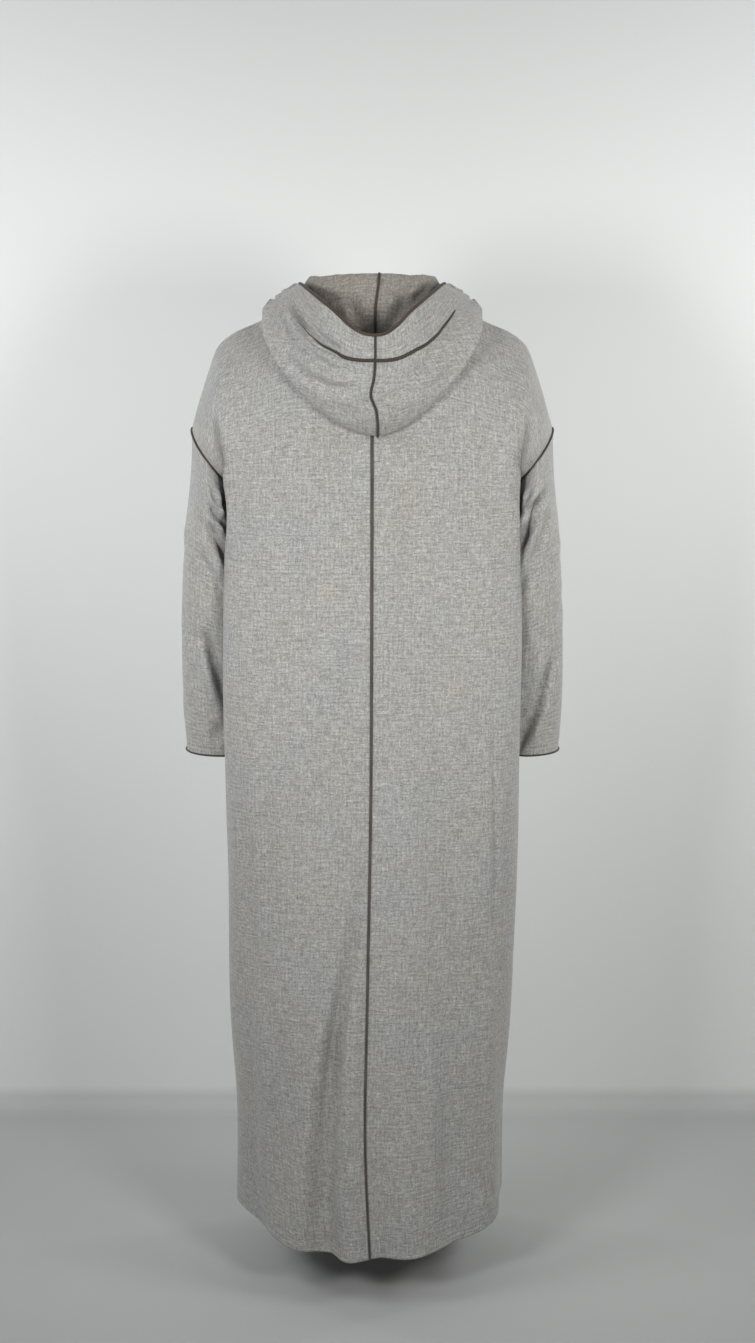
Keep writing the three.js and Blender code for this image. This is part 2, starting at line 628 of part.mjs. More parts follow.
// ---- hood --------------------------------------------------------------------------------------
const hoodAngles = [];
for (let angle = 0; angle < HOOD_END; angle += HOOD_STEP) hoodAngles.push(angle);
hoodAngles.push(HOOD_END);
const hoods = {};
for (const [sideName, side] of SIDES) {
  const surface = (a, s) => hood(side, a * HOOD_END, s);
  const grid = hoodAngles.map((angle) => {
    const path = hoodPath(angle);
    const length = path.reduce((sum, p, i) => sum + (i ? p.distanceTo(path[i - 1]) : 0), 0);
    const bandShare = hoodGraph.band(angle) / length;
    const below = HOOD_ROWS - BAND_ROWS;
    const row = [];
    for (let j = 0; j <= HOOD_ROWS; j += 1) {
      const share = j < below
        ? (1 - bandShare) * (j / below)
        : 1 - bandShare * ((HOOD_ROWS - j) / BAND_ROWS);
      const normal = normalOf(surface, angle / HOOD_END, share, 1, 1).multiplyScalar(-side);
      row.push({ p: hood(side, angle, share), normal });
    }
    return row;
  });
  for (const corner of grid[0]) {
    corner.normal.setX(0).normalize();
    corner.p.x = (side * SEAM_GAP) / 2;
  }
  hoods[sideName] = grid;
  addSheet(`hood_${sideName}`, grid);
}

// The band lies on the hood's outer layer, from the rim down, and runs all round the face edge.
const bandGrid = [...hoods.right.slice().reverse(), ...hoods.left.slice(1)].map(
  (row) => row.slice(HOOD_ROWS - BAND_ROWS).map(({ p, normal }) => (
    { p: p.clone().addScaledVector(normal, CLOTH + BAND_GAP), normal }
  )),
);
const centre = bandGrid[hoodAngles.length - 1];
for (const corner of centre) corner.p.x = 0;
addSheet('hood_band', bandGrid);
addBar('band_edge_cord', bandGrid.slice(1, -1).map((row) => cordSection(
  row[0], inFrom(row[0], row[1], CORD.half), inFrom(row[0], row[1], 2 * CORD.half), BENT_GAP,
)));

// The rim cord caps the fold between the hood's edge and the band's.
const rimSections = bandGrid.map((row, i) => {
  const edge = row[BAND_ROWS];
  const middle = edge.p.clone().addScaledVector(edge.normal, -(CLOTH + BAND_GAP) / 2);
  const up = edge.p.clone().sub(row[BAND_ROWS - 1].p).normalize();
  middle.addScaledVector(up, SEAM_GAP + RIM_CORD);
  const section = [];
  for (let k = 0; k < RIM_SIDES; k += 1) {
    const angle = (2 * Math.PI * k) / RIM_SIDES;
    section.push(middle.clone()
      .addScaledVector(up, RIM_CORD * Math.cos(angle))
      .addScaledVector(edge.normal, RIM_CORD * Math.sin(angle)));
  }
  return section;
});
addBar('hood_rim_cord', rimSections);

// The cord on the hood's centre seam: inside over the roll and down, and outside from the foot of
// the bag up to the band and over it.
const TURN_GAP = 0.7;            // under the cord where the cloth turns at the foot of the bag
function seamSection(row, facing, gap = SEAM_GAP) {
  const i = Math.floor(row);
  const at = (grid, k) => {
    const a = grid[k][i];
    const b = grid[k][Math.min(i + 1, HOOD_ROWS)];
    const normal = a.normal.clone().lerp(b.normal, row - i).normalize().multiplyScalar(facing);
    return { p: a.p.clone().lerp(b.p, row - i), normal };
  };
  const [left, right] = [hoods.left, hoods.right];
  return cordSection(
    inFrom(at(left, 0), at(left, 1), CORD.half),
    between(at(left, 0), at(right, 0)),
    inFrom(at(right, 0), at(right, 1), CORD.half),
    gap,
  );
}
const bandFoot = HOOD_ROWS - BAND_ROWS;
const outside = [seamSection(BAG_ROW, 1, TURN_GAP), seamSection(BAG_ROW + 1, 1, TURN_GAP)];
for (let row = BAG_ROW + 2; row < bandFoot; row += 1) outside.push(seamSection(row, 1));
outside.push(seamSection(bandFoot - 0.15, 1));
addBar('hood_seam_cord_outside', outside);
const inside = [];
for (let row = ROLL_ROW; row < BAG_ROW - 2; row += 1) inside.push(seamSection(row, -1));
addBar('hood_seam_cord_inside', inside);
const beside = [bandGrid[hoodAngles.length], bandGrid[hoodAngles.length - 2]];
addBar('hood_seam_cord_band', [0.5, 1, 2, BAND_ROWS - 0.1].map((row) => {
  const i = Math.floor(row);
  const next = Math.min(i + 1, BAND_ROWS);
  const at = (line) => (
    { p: line[i].p.clone().lerp(line[next].p, row - i), normal: line[i].normal }
  );
  const middle = at(centre);
  return cordSection(
    inFrom(middle, at(beside[0]), CORD.half), middle, inFrom(middle, at(beside[1]), CORD.half),
  );
}));

export default model;
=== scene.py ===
import math

import bpy
import numpy as np
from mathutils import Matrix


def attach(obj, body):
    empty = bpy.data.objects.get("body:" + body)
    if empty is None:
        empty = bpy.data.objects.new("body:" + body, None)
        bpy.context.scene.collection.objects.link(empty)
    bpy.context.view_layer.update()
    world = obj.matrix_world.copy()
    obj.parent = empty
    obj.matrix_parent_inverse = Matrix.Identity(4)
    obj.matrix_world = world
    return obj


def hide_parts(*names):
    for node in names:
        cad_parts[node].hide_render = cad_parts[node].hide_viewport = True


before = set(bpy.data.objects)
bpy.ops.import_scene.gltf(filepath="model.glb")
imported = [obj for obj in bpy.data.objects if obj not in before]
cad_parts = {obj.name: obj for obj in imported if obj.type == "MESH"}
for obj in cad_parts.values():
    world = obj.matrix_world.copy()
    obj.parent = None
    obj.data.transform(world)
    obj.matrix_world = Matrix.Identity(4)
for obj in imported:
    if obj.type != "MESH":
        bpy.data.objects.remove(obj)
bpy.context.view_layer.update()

# A hooded robe in its worn form. The surfaces repeat those of the solids, in millimetres, on a
# finer grid, and take small creases from listed tables. add_object turns millimetres into metres.

# ---- sizes, as in the solids ----
HEM_Z = -1395.0
HEM_RISE = dict(high=34.0, start=-1100.0, power=2.5)
UNDERARM_Z = -262.0
CUFF_Z = -666.0
NECK = dict(side=85.0, back=55.0, front=85.0, back_z=0.0, side_z=6.0, front_z=-50.0, power=1.6)
NECK_SHARE = 6 / 15
SLIT = dict(bottom=-195.0, open=9.0, wide=90.0)
# The shoulder line: distance from the middle and height.
SHOULDER = [(85, 6), (118, -10), (160, -33), (198, -50), (220, -68), (235, -105), (248, -145), (259, -185)]
SHOULDER_ROUND = 3.0
ARMHOLE = dict(x=232.0, z=-223.5, out_x=27.0, out_z=38.5, deep=92.0)
ARMPIT_GAP = 2.4
DROP_START = 0.6
SEAM_GAP = 0.3
YOKE_CREASE = dict(at=0.74, wide=0.06, deep=6)

# Level sections of the body: half widths, the power of their outline, and how far they give way to
# the arms.
BODY_COLUMNS = ("z", "wide", "back", "front", "square", "hollow")
BODY = [
    (-262, 221, 125, 131, 4.0, 0.42),
    (-300, 221, 124, 131, 4.0, 0.9),
    (-380, 221, 123, 132, 4.0, 1.0),
    (-560, 221, 124, 136, 4.0, 1.0),
    (-690, 219, 128, 140, 3.6, 1.0),
    (-800, 217, 132, 144, 3.0, 0.3),
    (-920, 215, 137, 148, 2.6, 0.0),
    (-1060, 212, 144, 153, 2.4, 0.0),
    (-1215, 203, 155, 159, 2.2, 0.0),
    (-1395, 202, 167, 165, 2.2, 0.0),
]
SLEEVE_CLEAR = 6.0
HOLLOW_SOFT = 10.0

# Hanging folds: angle from the centre back at the top and at the hem, start, height, half width.
# A fold grows to its height at the hem by a power, and is narrower at its start.
FOLD_POWER = 1.3
FOLD_START_WIDE = 0.7
FOLDS = [
    (3, 10, -740, 16, 7), (7, 21, -760, -14, 8), (-2, -6, -900, -6, 5), (-12, -21, -860, 9, 9),
    (36, 42, -700, 9, 11), (66, 62, -840, -9, 9), (84, 82, -760, 8, 10), (-36, -43, -720, -9, 9),
    (-60, -62, -800, 8, 10), (-88, -84, -780, -7, 10), (108, 106, -760, -10, 9),
    (132, 128, -620, 11, 10), (152, 147, -560, -12, 8), (170, 166, -500, 9, 8),
    (-170, -173, -620, -8, 7), (-153, -155, -540, 12, 9), (-134, -132, -640, -10, 9),
    (-112, -110, -760, 9, 10),
]
# The centre back seam wanders: height, distance to the wearer's left. It fades out over SEAM_FADE.
SEAM_FADE = 180
SEAM_LINE = [(-262, 0), (-700, 2), (-980, 7), (-1215, 11), (-1395, 4)]

# Level sections of the sleeve: height, middle, half widths.
SLEEVE_COLUMNS = ("z", "x", "y", "wide", "deep")
SLEEVE = [
    (-185, 226, 0, 40, 88),
    (-255, 227, -2, 40, 86),
    (-300, 228.5, -4, 41, 84),
    (-360, 226, -8, 48.5, 78),
    (-436, 225, -13, 54, 71),
    (-511, 224.5, -17, 56.5, 64),
    (-586, 224.5, -20, 56.5, 58),
    (-666, 222.5, -24, 55, 52),
]
SLEEVE_SETTLE = 0.3
# Sleeve creases: side, start and end (angle from the outer line to the back, height), depth, width.
CREASES = [
    (1, 76, -492, 112, -590, 7, 20), (1, 118, -300, 120, -362, 5, 18), (1, 66, -392, 100, -425, 3, 17),
    (1, -60, -400, -118, -345, 6, 20), (1, -48, -560, -112, -505, 5, 20),
    (-1, 60, -562, 106, -648, 7, 20), (-1, 80, -305, 124, -348, 7, 20), (-1, 66, -362, 102, -410, 3, 17),
    (-1, -55, -430, -118, -370, 6, 20), (-1, -50, -600, -110, -540, 5, 20),
]

# Sections of the hood by their angle round the neck, from the centre back: how high the roll stands,
# the foot of the bag, the rim, how far the bag swells and how wide the band is.
HOOD_COLUMNS = ("angle", "lift", "bx", "by", "bz", "rx", "ry", "rz", "bag", "band")
HOOD = [
    (0, 34, 0, 130, -187, 0, 165, -50, 32, 34),
    (11, 33.5, 23, 129, -181, 16, 164, -47, 32, 37),
    (22, 32, 45, 128, -171, 33, 159, -36, 31, 45),
    (33, 30.5, 64, 126, -158, 49, 152, -20, 27, 53),
    (44, 29, 82, 122, -143, 65, 140, -6, 22, 58),
    (66, 26, 118, 110, -106, 83, 98, 7, 13, 50),
    (86, 24, 149, 74, -58, 97, 54, 16, 7, 38),
    (108, 22, 154, 4, -25, 103, 2, 16, 7, 28),
    (132, 20, 118, -78, -38, 92, -66, 1, 8, 22),
    (154, 17, 68, -116, -74, 58, -100, -26, 12, 18),
    (172, 14, 26, -120, -92, 24, -112, -46, 11, 12),
]
# The roll at the neck: where a section starts, how far out its top lies and how it falls from there.
ROLL = dict(inside=0.8, above=1.8, hollow=3, out=3, fall_out=9, fall=12)
HOOD_CLEAR = 6.5                 # from the yoke; the outer layer lies further off
OUTER_CLEAR = 6.5
HOOD_END = 172.5
FOOT_ROUND = 6.0
# The outer layer between foot and rim: share of the way, share of the swelling.
SWELL = [(0.12, 0.5), (0.4, 0.64), (0.7, 0.42)]
BAND_GAP = 0.8
HOOD_STEPS = 120                 # steps of a section, of which the first make the roll
ROLL_STEPS = 22

CLOTH = 1.5                      # thickness of the shells
MM = 0.001


# ---- small tools ----
def clamp01(x):
    """The value, held between 0 and 1."""
    return np.clip(x, 0.0, 1.0)


def smoothstep(x, a, b):
    """0 at a and 1 at b, and between them three times the square of the share less twice its cube."""
    q = clamp01((x - a) / (b - a))
    return q * q * (3 - 2 * q)


def unit(vectors):
    """Each vector over its own length."""
    return vectors / np.linalg.norm(vectors, axis=-1, keepdims=True)


def running(path):
    """How far along the path each of its points lies: the sum of the steps before it."""
    return np.concatenate([[0.0], np.cumsum(np.linalg.norm(np.diff(path, axis=0), axis=1))])


def way_down(grid):
    """How far down a grid each of its rows lies, as the mean over its columns."""
    drop = np.linalg.norm(np.diff(grid, axis=0), axis=2).mean(1)
    return np.concatenate([[0], np.cumsum(drop)])


def grid_places(rows, cols):
    """The row and the column of every place of a grid, row by row."""
    return (x.ravel() for x in np.meshgrid(np.arange(rows), np.arange(cols), indexing="ij"))


def bell(off, wide):
    """A bell curve: e to the power of less the square of the distance over the half width."""
    return np.exp(-((off / wide) ** 2))


def graph(table, column):
    """A smooth curve through one column of a table, read by its first column: a cubic between each
    two rows, with the slope at a row that of the line through the rows beside it."""
    xs = np.array([row[0] for row in table], float)
    ys = np.array([row[column] for row in table], float)
    if xs[1] < xs[0]:
        xs, ys = xs[::-1], ys[::-1]
    low = np.maximum(np.arange(len(xs)) - 1, 0)
    high = np.minimum(np.arange(len(xs)) + 1, len(xs) - 1)
    slopes = (ys[high] - ys[low]) / (xs[high] - xs[low])

    def read(x):
        """The curve's value at x."""
        x = np.asarray(x, float)
        i = np.clip(np.searchsorted(xs, x) - 1, 0, len(xs) - 2)
        h = xs[i + 1] - xs[i]
        q = clamp01((x - xs[i]) / h)
        a = (1 + 2 * q) * (1 - q) ** 2
        b = q * (1 - q) ** 2
        return a * ys[i] + (1 - a) * ys[i + 1] + h * (b * slopes[i] - q * q * (1 - q) * slopes[i + 1])

    return read


def graphs(table, columns):
    """A graph for each column but the first, by its name."""
    return {name: graph(table, k) for k, name in enumerate(columns) if k}


def along(path, shares):
    """Points at shares of a path's length."""
    lengths = running(path)
    want = clamp01(np.asarray(shares, float)) * lengths[-1]
    return np.stack([np.interp(want, lengths, path[:, k]) for k in range(3)], -1)


def path_length(path):
    """The sum of the steps from point to point."""
    return float(np.linalg.norm(np.diff(path, axis=0), axis=1).sum())


def smooth_path(points, count):
    """A centripetal Catmull-Rom curve through the points: cubics whose slopes at a point weigh the
    steps beside it by the square roots of their lengths."""
    pts = np.asarray(points, float)
    pts = np.vstack([2 * pts[0] - pts[1], pts, 2 * pts[-1] - pts[-2]])
    last = len(pts) - 3
    out = []
    for k in range(count + 1):
        t = last * k / count
        i = min(int(t), last - 1)
        w = t - i
        p0, p1, p2, p3 = pts[i:i + 4]
        steps = (float(np.linalg.norm(b - a)) for a, b in ((p0, p1), (p1, p2), (p2, p3)))
        d0, d1, d2 = (max(step ** 0.5, 1e-4) for step in steps)
        t1 = ((p1 - p0) / d0 - (p2 - p0) / (d0 + d1) + (p2 - p1) / d1) * d1
        t2 = ((p2 - p1) / d1 - (p3 - p1) / (d1 + d2) + (p3 - p2) / d2) * d1
        square, cube = -3 * p1 + 3 * p2 - 2 * t1 - t2, 2 * p1 - 2 * p2 + t1 + t2
        out.append(p1 + t1 * w + square * w ** 2 + cube * w ** 3)
    return np.array(out)


def grid_normals(points, at, out, closed=False):
    """Unit normals of a grid, each the cross product of the steps across and down. The grid place
    at has its normal towards out, and the others go with it."""
    if closed:
        wide = np.concatenate([points[:, -1:], points, points[:, :1]], axis=1)
        across = wide[:, 2:] - wide[:, :-2]
    else:
        across = np.gradient(points, axis=1)
    n = np.cross(across, np.gradient(points, axis=0))
    n /= np.maximum(np.linalg.norm(n, axis=2, keepdims=True), 1e-9)
    return n if n[at] @ np.array(out) > 0 else -n


# ---- surfaces ----
body = graphs(BODY, BODY_COLUMNS)
arm = graphs(SLEEVE, SLEEVE_COLUMNS)
seam_x = graph(SEAM_LINE, 1)
hood_graph = graphs(HOOD, HOOD_COLUMNS)
shoulder_path = smooth_path([(x, 0, z) for x, z in SHOULDER], 80)


def fold_height(angle, z):
    """Height of the hanging folds: the sum of a bell for each, by the angle from its middle, times
    its share of the way from its start to the hem to a power."""
    total = np.zeros_like(angle)
    for top, hem, start, high, wide in FOLDS:
        grown = clamp01((start - z) / (start - HEM_Z))
        off = angle - (top + (hem - top) * grown)
        off = off - 360 * np.round(off / 360)
        width = wide * (FOLD_START_WIDE + (1 - FOLD_START_WIDE) * grown)
        total += high * grown ** FOLD_POWER * bell(off, width)
    return total


def quarter(face, z):
    """A quarter of a level section, from the centre line to the side seam: an oval whose cosine and
    sine are raised to a power, and which gives way softly to the sleeve beside it."""
    power = 2 / float(body["square"](z))
    wide = float(body["wide"](z))
    deep = float(body["back" if face > 0 else "front"](z))
    a = np.linspace(0, math.pi / 2, 81)
    y = face * deep * np.maximum(np.cos(a), 0) ** power
    plain = wide * np.sin(a) ** power
    off = (y - float(arm["y"](z))) / (float(arm["deep"](z)) + SLEEVE_CLEAR)
    reach = (float(arm["wide"](z)) + SLEEVE_CLEAR) * np.sqrt(np.maximum(1 - off * off, 0))
    inner = float(arm["x"](z)) - reach
    beside = (plain + inner - np.hypot(plain - inner, HOLLOW_SOFT)) / 2
    hollow = float(clamp01(body["hollow"](z)))
    return np.stack([plain + (beside - plain) * hollow, y, np.full_like(y, z)], -1)


def skirt_row(side, face, u, z):
    """A level row of a panel at shares u of its quarter. Its folds stretch it away from the middle,
    and near the hem it rises with a power of the distance from the centre."""
    p = along(quarter(face, z), u)
    angle = np.degrees(np.arctan2(side * p[:, 0], p[:, 1]))
    out = 1 + fold_height(angle, z) / np.hypot(p[:, 0], p[:, 1])
    p[:, 0] *= side * out
    p[:, 1] *= out
    low = float(clamp01((HEM_RISE["start"] - z) / (HEM_RISE["start"] - HEM_Z)))
    across = np.minimum(np.abs(p[:, 0]) / float(body["wide"](z)), 1)
    p[:, 2] += HEM_RISE["high"] * low ** 2 * across ** HEM_RISE["power"]
    if face > 0:
        p[:, 0] += float(seam_x(z)) * np.maximum(1 - np.abs(p[:, 0]) / SEAM_FADE, 0) ** 2
    return p


def neck_points(face, share):
    """Points of the neck seam from the centre to the shoulder: a quarter of an oval, whose height
    goes from the centre's to the side's with a power of the sine."""
    a = np.asarray(share, float) * math.pi / 2
    centre_z = NECK["back_z"] if face > 0 else NECK["front_z"]
    z = centre_z + (NECK["side_z"] - centre_z) * np.sin(a) ** NECK["power"]
    deep = NECK["back"] if face > 0 else NECK["front"]
    return np.stack([NECK["side"] * np.sin(a), face * deep * np.cos(a), z], -1)


def top_edge(face, u):
    """The upper edge of a panel: the neck seam, then the shoulder line."""
    shoulder = along(shoulder_path, (u - NECK_SHARE) / (1 - NECK_SHARE))
    return np.where((u < NECK_SHARE)[:, None], neck_points(face, np.minimum(u / NECK_SHARE, 1)), shoulder)


def armhole(angle):
    """The armhole: a leaning oval, by the angle from its outer end to the back."""
    angle = np.asarray(angle, float)
    return np.stack([
        ARMHOLE["x"] + ARMHOLE["out_x"] * np.cos(angle),
        ARMHOLE["deep"] * np.sin(angle),
        ARMHOLE["z"] + ARMHOLE["out_z"] * np.cos(angle),
    ], -1)


def yoke_row(side, face, u, t):
    """A row of a panel above the underarm, at share t of the way down from the upper edge. Its
    outer end is drawn to the armhole, and a soft crease runs down behind that."""
    full = np.append(u, 1.0)
    top, low = top_edge(face, full), skirt_row(1, face, full, UNDERARM_Z)
    share = np.array([t, 1 - (1 - t) ** SHOULDER_ROUND, t])
    blend = top + (low - top) * share
    drop = armhole(face * math.pi * t) - blend[-1]
    p = blend[:-1] + drop * smoothstep(u, DROP_START, 1)[:, None]
    crease = bell(u - YOKE_CREASE["at"], YOKE_CREASE["wide"]) * float(smoothstep(t, 0.3, 0.6))
    p[:, 1] -= face * YOKE_CREASE["deep"] * crease * (1 - float(smoothstep(t, 0.8, 1)))
    p[:, 0] *= side
    return p


def robe_grid(side, face, us, vs):
    """A panel: v goes from 0 at the upper edge over 1 at the underarm to 2 at the hem."""
    return np.array([
        yoke_row(side, face, us, v) if v <= 1
        else skirt_row(side, face, us, UNDERARM_Z + (HEM_Z - UNDERARM_Z) * (v - 1))
        for v in vs])


def crease_sum(table, a, z):
    """Depth at places (a, z) of creases, each with its start, end, depth and half width: the sum
    of a bell for each, by the distance from the line between its ends."""
    total = np.zeros_like(a)
    for a0, z0, a1, z1, deep, wide in table:
        da, dz = a1 - a0, z1 - z0
        q = clamp01(((a - a0) * da + (z - z0) * dz) / (da * da + dz * dz))
        off = (a - a0 - q * da) ** 2 + (z - z0 - q * dz) ** 2
        total += deep * np.exp(-off / wide ** 2)
    return total


# The low ridge along each side of a fine crease, as shares of the crease's depth and half width.
RIDGE = dict(high=0.35, off=1.7, wide=0.8)


def fine_creases(table, a, z):
    """Height at places (a, z) of listed creases, each a depth, a half width and a line of points.
    A crease is a soft trough between two low ridges that dies out at its ends; with a depth below
    0 it is a ridge between two troughs."""
    total = np.zeros(np.broadcast(a, z).shape)
    for deep, wide, *line in table:
        line = np.array(line, float)
        lengths = np.hypot(*np.diff(line, axis=0).T)
        best = np.full(total.shape, np.inf)
        place = np.zeros(total.shape)
        for k, length in enumerate(lengths):
            (a0, z0), (da, dz) = line[k], line[k + 1] - line[k]
            q = clamp01(((a - a0) * da + (z - z0) * dz) / length ** 2)
            off = np.hypot(a - a0 - q * da, z - z0 - q * dz)
            nearer = off < best
            best = np.where(nearer, off, best)
            place = np.where(nearer, (lengths[:k].sum() + q * length) / lengths.sum(), place)
        fade = smoothstep(place, -0.02, 0.3) * smoothstep(1 - place, -0.02, 0.3)
        ridge = RIDGE["high"] * bell(best - RIDGE["off"] * wide, RIDGE["wide"] * wide)
        total += deep * fade * (ridge - bell(best, wide))
    return total


# Away from the armhole, square to it; and the millimetres round a sleeve in one degree.
ARM_OUT = unit(np.array([ARMHOLE["out_z"], 0, -ARMHOLE["out_x"]]))
ANGLE_MM = math.radians(1) * 65


def turned(angles):
    """The angles in degrees, from -180 to 180."""
    return np.degrees((angles + math.pi) % (2 * math.pi) - math.pi)


def sleeve_grid(side, angles, ss):
    """A sleeve: level ovals less their creases, drawn to the armhole at the upper end, by the share
    of the way down."""
    start = armhole(angles)
    narrow = smoothstep(-np.cos(angles), -0.3, 0.6)
    start = start + ARM_OUT * (SEAM_GAP + (ARMPIT_GAP - SEAM_GAP) * narrow)[:, None]
    table = [(a0 * ANGLE_MM, z0, a1 * ANGLE_MM, z1, deep, wide)
             for crease_side, a0, z0, a1, z1, deep, wide in CREASES if crease_side == side]
    rows = []
    for s in ss:
        z = start[:, 2] + (CUFF_Z - start[:, 2]) * s
        inward = crease_sum(table, turned(angles) * ANGLE_MM, z)
        hang = np.stack([
            arm["x"](z) + (arm["wide"](z) - inward) * np.cos(angles),
            arm["y"](z) + (arm["deep"](z) - inward) * np.sin(angles),
            z,
        ], -1)
        p = start + (hang - start) * float(smoothstep(s, 0, SLEEVE_SETTLE))
        p[:, 2] = z
        rows.append(p * (side, 1, 1))
    return np.array(rows)


YOKE_SAMPLES = 36


def yoke_samples():
    """Points of the upper back and front with their outward normals, both on the left."""
    us = np.linspace(0, 1, YOKE_SAMPLES + 1)
    grids = [np.array([yoke_row(1, face, us, t) for t in us]) for face in (1, -1)]
    normals = [grid_normals(grid, (YOKE_SAMPLES, 0), (0, face, 0)) for grid, face in zip(grids, (1, -1))]
    return np.reshape(grids, (-1, 3)), np.reshape(normals, (-1, 3))


YOKE_POINTS, YOKE_NORMALS = yoke_samples()


def clear_of_yoke(points, clear):
    """Moves each point out along the nearest normal of the yoke until it is clear of it. It gives
    the points and those normals."""
    points = np.atleast_2d(points)
    gaps = ((points[:, None] - YOKE_POINTS[None]) ** 2).sum(2)
    best = gaps.argmin(1)
    n = YOKE_NORMALS[best]
    height = ((points - YOKE_POINTS[best]) * n).sum(1)
    return points + n * np.maximum(clear - height, 0)[:, None], n


def hood_path(angle):
    """One section, from the neck seam over the roll, down to the foot of the bag and up to the rim:
    a smooth path through points of the section's own row, kept clear of the yoke."""
    face = 1 if angle <= 90 else -1
    neck = neck_points(face, (angle if face > 0 else 180 - angle) / 90)
    out = np.array([neck[0], neck[1], 0]) / math.hypot(neck[0], neck[1])
    g = {name: float(read(angle)) for name, read in hood_graph.items()}
    start = neck - out * ROLL["inside"] + (0, 0, ROLL["above"])
    roll = neck + out * ROLL["out"] + (0, 0, g["lift"])
    fall = roll + out * ROLL["fall_out"] - (0, 0, ROLL["fall"])
    foot = np.array([g["bx"], g["by"], g["bz"]])
    rim = np.array([g["rx"], g["ry"], g["rz"]])
    lying = [clear_of_yoke(fall + (foot - fall) * share, HOOD_CLEAR)[0][0]
             for share in (0.3, 0.6, 0.88)]
    foot_at, foot_n = (x[0] for x in clear_of_yoke(foot, HOOD_CLEAR + min(FOOT_ROUND, g["bag"] * 0.8)))
    outer = [foot_at + (rim - foot_at) * share + foot_n * g["bag"] * part for share, part in SWELL]
    middle = (start + roll) / 2 - out * ROLL["hollow"]
    path = smooth_path([start, middle, roll, fall, *lying, foot_at, *outer, rim], HOOD_STEPS)
    clear = HOOD_CLEAR + OUTER_CLEAR * smoothstep(np.arange(HOOD_STEPS + 1.0), 76, 88)
    pushed = clear_of_yoke(path, clear)[0]
    return np.vstack([path[:ROLL_STEPS], pushed[ROLL_STEPS:]])


# ---- meshes ----
def add_object(name, verts, faces, uvs, node, material, wrong_side_shade=None):
    """A mesh object in metres, with one UV per face corner, that replaces its solids. Its faces are
    turned round if they enclose less than nothing, by the sum of their corners' triple products.
    Its last argument is 1 at the points of the cloth's inner face and 0 elsewhere: that face gets a
    darker tint, partly the cloth's own reverse tone and partly painted shade."""
    mesh = bpy.data.meshes.new(name)
    faces = np.asarray(faces, np.int32)
    verts = np.asarray(verts, float)
    a, b, c = (verts[faces[:, k]] for k in range(3))
    if np.einsum("ij,ij->i", a, np.cross(b, c)).sum() < 0:
        faces = faces[:, ::-1]
        uvs = uvs[:, ::-1]
    count, sides = faces.shape
    mesh.vertices.add(len(verts))
    mesh.vertices.foreach_set("co", (verts * MM).ravel())
    mesh.loops.add(count * sides)
    mesh.loops.foreach_set("vertex_index", faces.ravel())
    mesh.polygons.add(count)
    mesh.polygons.foreach_set("loop_start", np.arange(count, dtype=np.int32) * sides)
    mesh.polygons.foreach_set("loop_total", np.full(count, sides, np.int32))
    mesh.polygons.foreach_set("use_smooth", np.ones(count, bool))
    layer = mesh.uv_layers.new(name="Cloth")
    layer.data.foreach_set("uv", np.asarray(uvs, float).ravel())
    if wrong_side_shade is not None:
        mask = mesh.attributes.new("wrong_side_shade", "FLOAT", "POINT")
        mask.data.foreach_set("value", wrong_side_shade)
    mesh.update(calc_edges=True)
    mesh.validate()
    obj = bpy.data.objects.new(name, mesh)
    bpy.context.scene.collection.objects.link(obj)
    obj.data.materials.append(material)
    if node:
        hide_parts(*node)
    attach(obj, "root")
    return obj


def shell_faces(rows, cols, closed):
    """Quads of a closed shell over a grid, with the grid place of each corner for the UVs."""
    steps = cols if closed else cols - 1
    i, j = grid_places(rows - 1, steps)
    corners = [(0, i, j), (0, i + 1, j), (0, i + 1, j + 1), (0, i, j + 1)]
    sets = [corners, [(1, a, b) for _, a, b in (corners[0], corners[3], corners[2], corners[1])]]
    k = np.arange(steps)
    for edge, order in ((0, (0, 1)), (rows - 1, (1, 0))):
        e = np.full(steps, edge)
        first, second = k + order[0], k + order[1]
        sets.append([(0, e, first), (0, e, second), (1, e, second), (1, e, first)])
    if not closed:
        k = np.arange(rows - 1)
        for edge, order in ((0, (1, 0)), (cols - 1, (0, 1))):
            e = np.full(rows - 1, edge)
            first, second = k + order[0], k + order[1]
            sets.append([(0, first, e), (0, second, e), (1, second, e), (1, first, e)])
    faces, places = [], []
    for corner_set in sets:
        faces.append(np.stack([(layer * rows + a) * cols + b % cols for layer, a, b in corner_set], -1))
        places.append(np.stack([np.stack([a, b], -1) for _, a, b in corner_set], 1))
    return np.vstack(faces), np.vstack(places)


def add_shell(name, points, normals, uv, node, closed=False):
    """A thin closed shell: a grid of middle points moved half the cloth's thickness along its
    normals to each side. uv is in metres, with a column more if closed."""
    rows, cols = points.shape[:2]
    half = CLOTH / 2
    verts = np.vstack([(points + normals * off).reshape(-1, 3) for off in (half, -half)])
    faces, places = shell_faces(rows, cols, closed)
    uvs = uv[places[..., 0], places[..., 1]]
    # 1 on the inner face, which the cloth tints darker: partly its reverse tone, partly painted shade.
    wrong_side_shade = np.repeat([0.0, 1.0], rows * cols)
    return add_object(name, verts, faces, uvs, node, cloth, wrong_side_shade)


# A cord's cross-section and screw: corners, how far its two plies stand out and their pitch.
CORD_SIDES = 10
PLY_HIGH = 0.13
PLY_PITCH = 4.2
CORD_ROUND = 0.012               # metres round a cord on its UV map


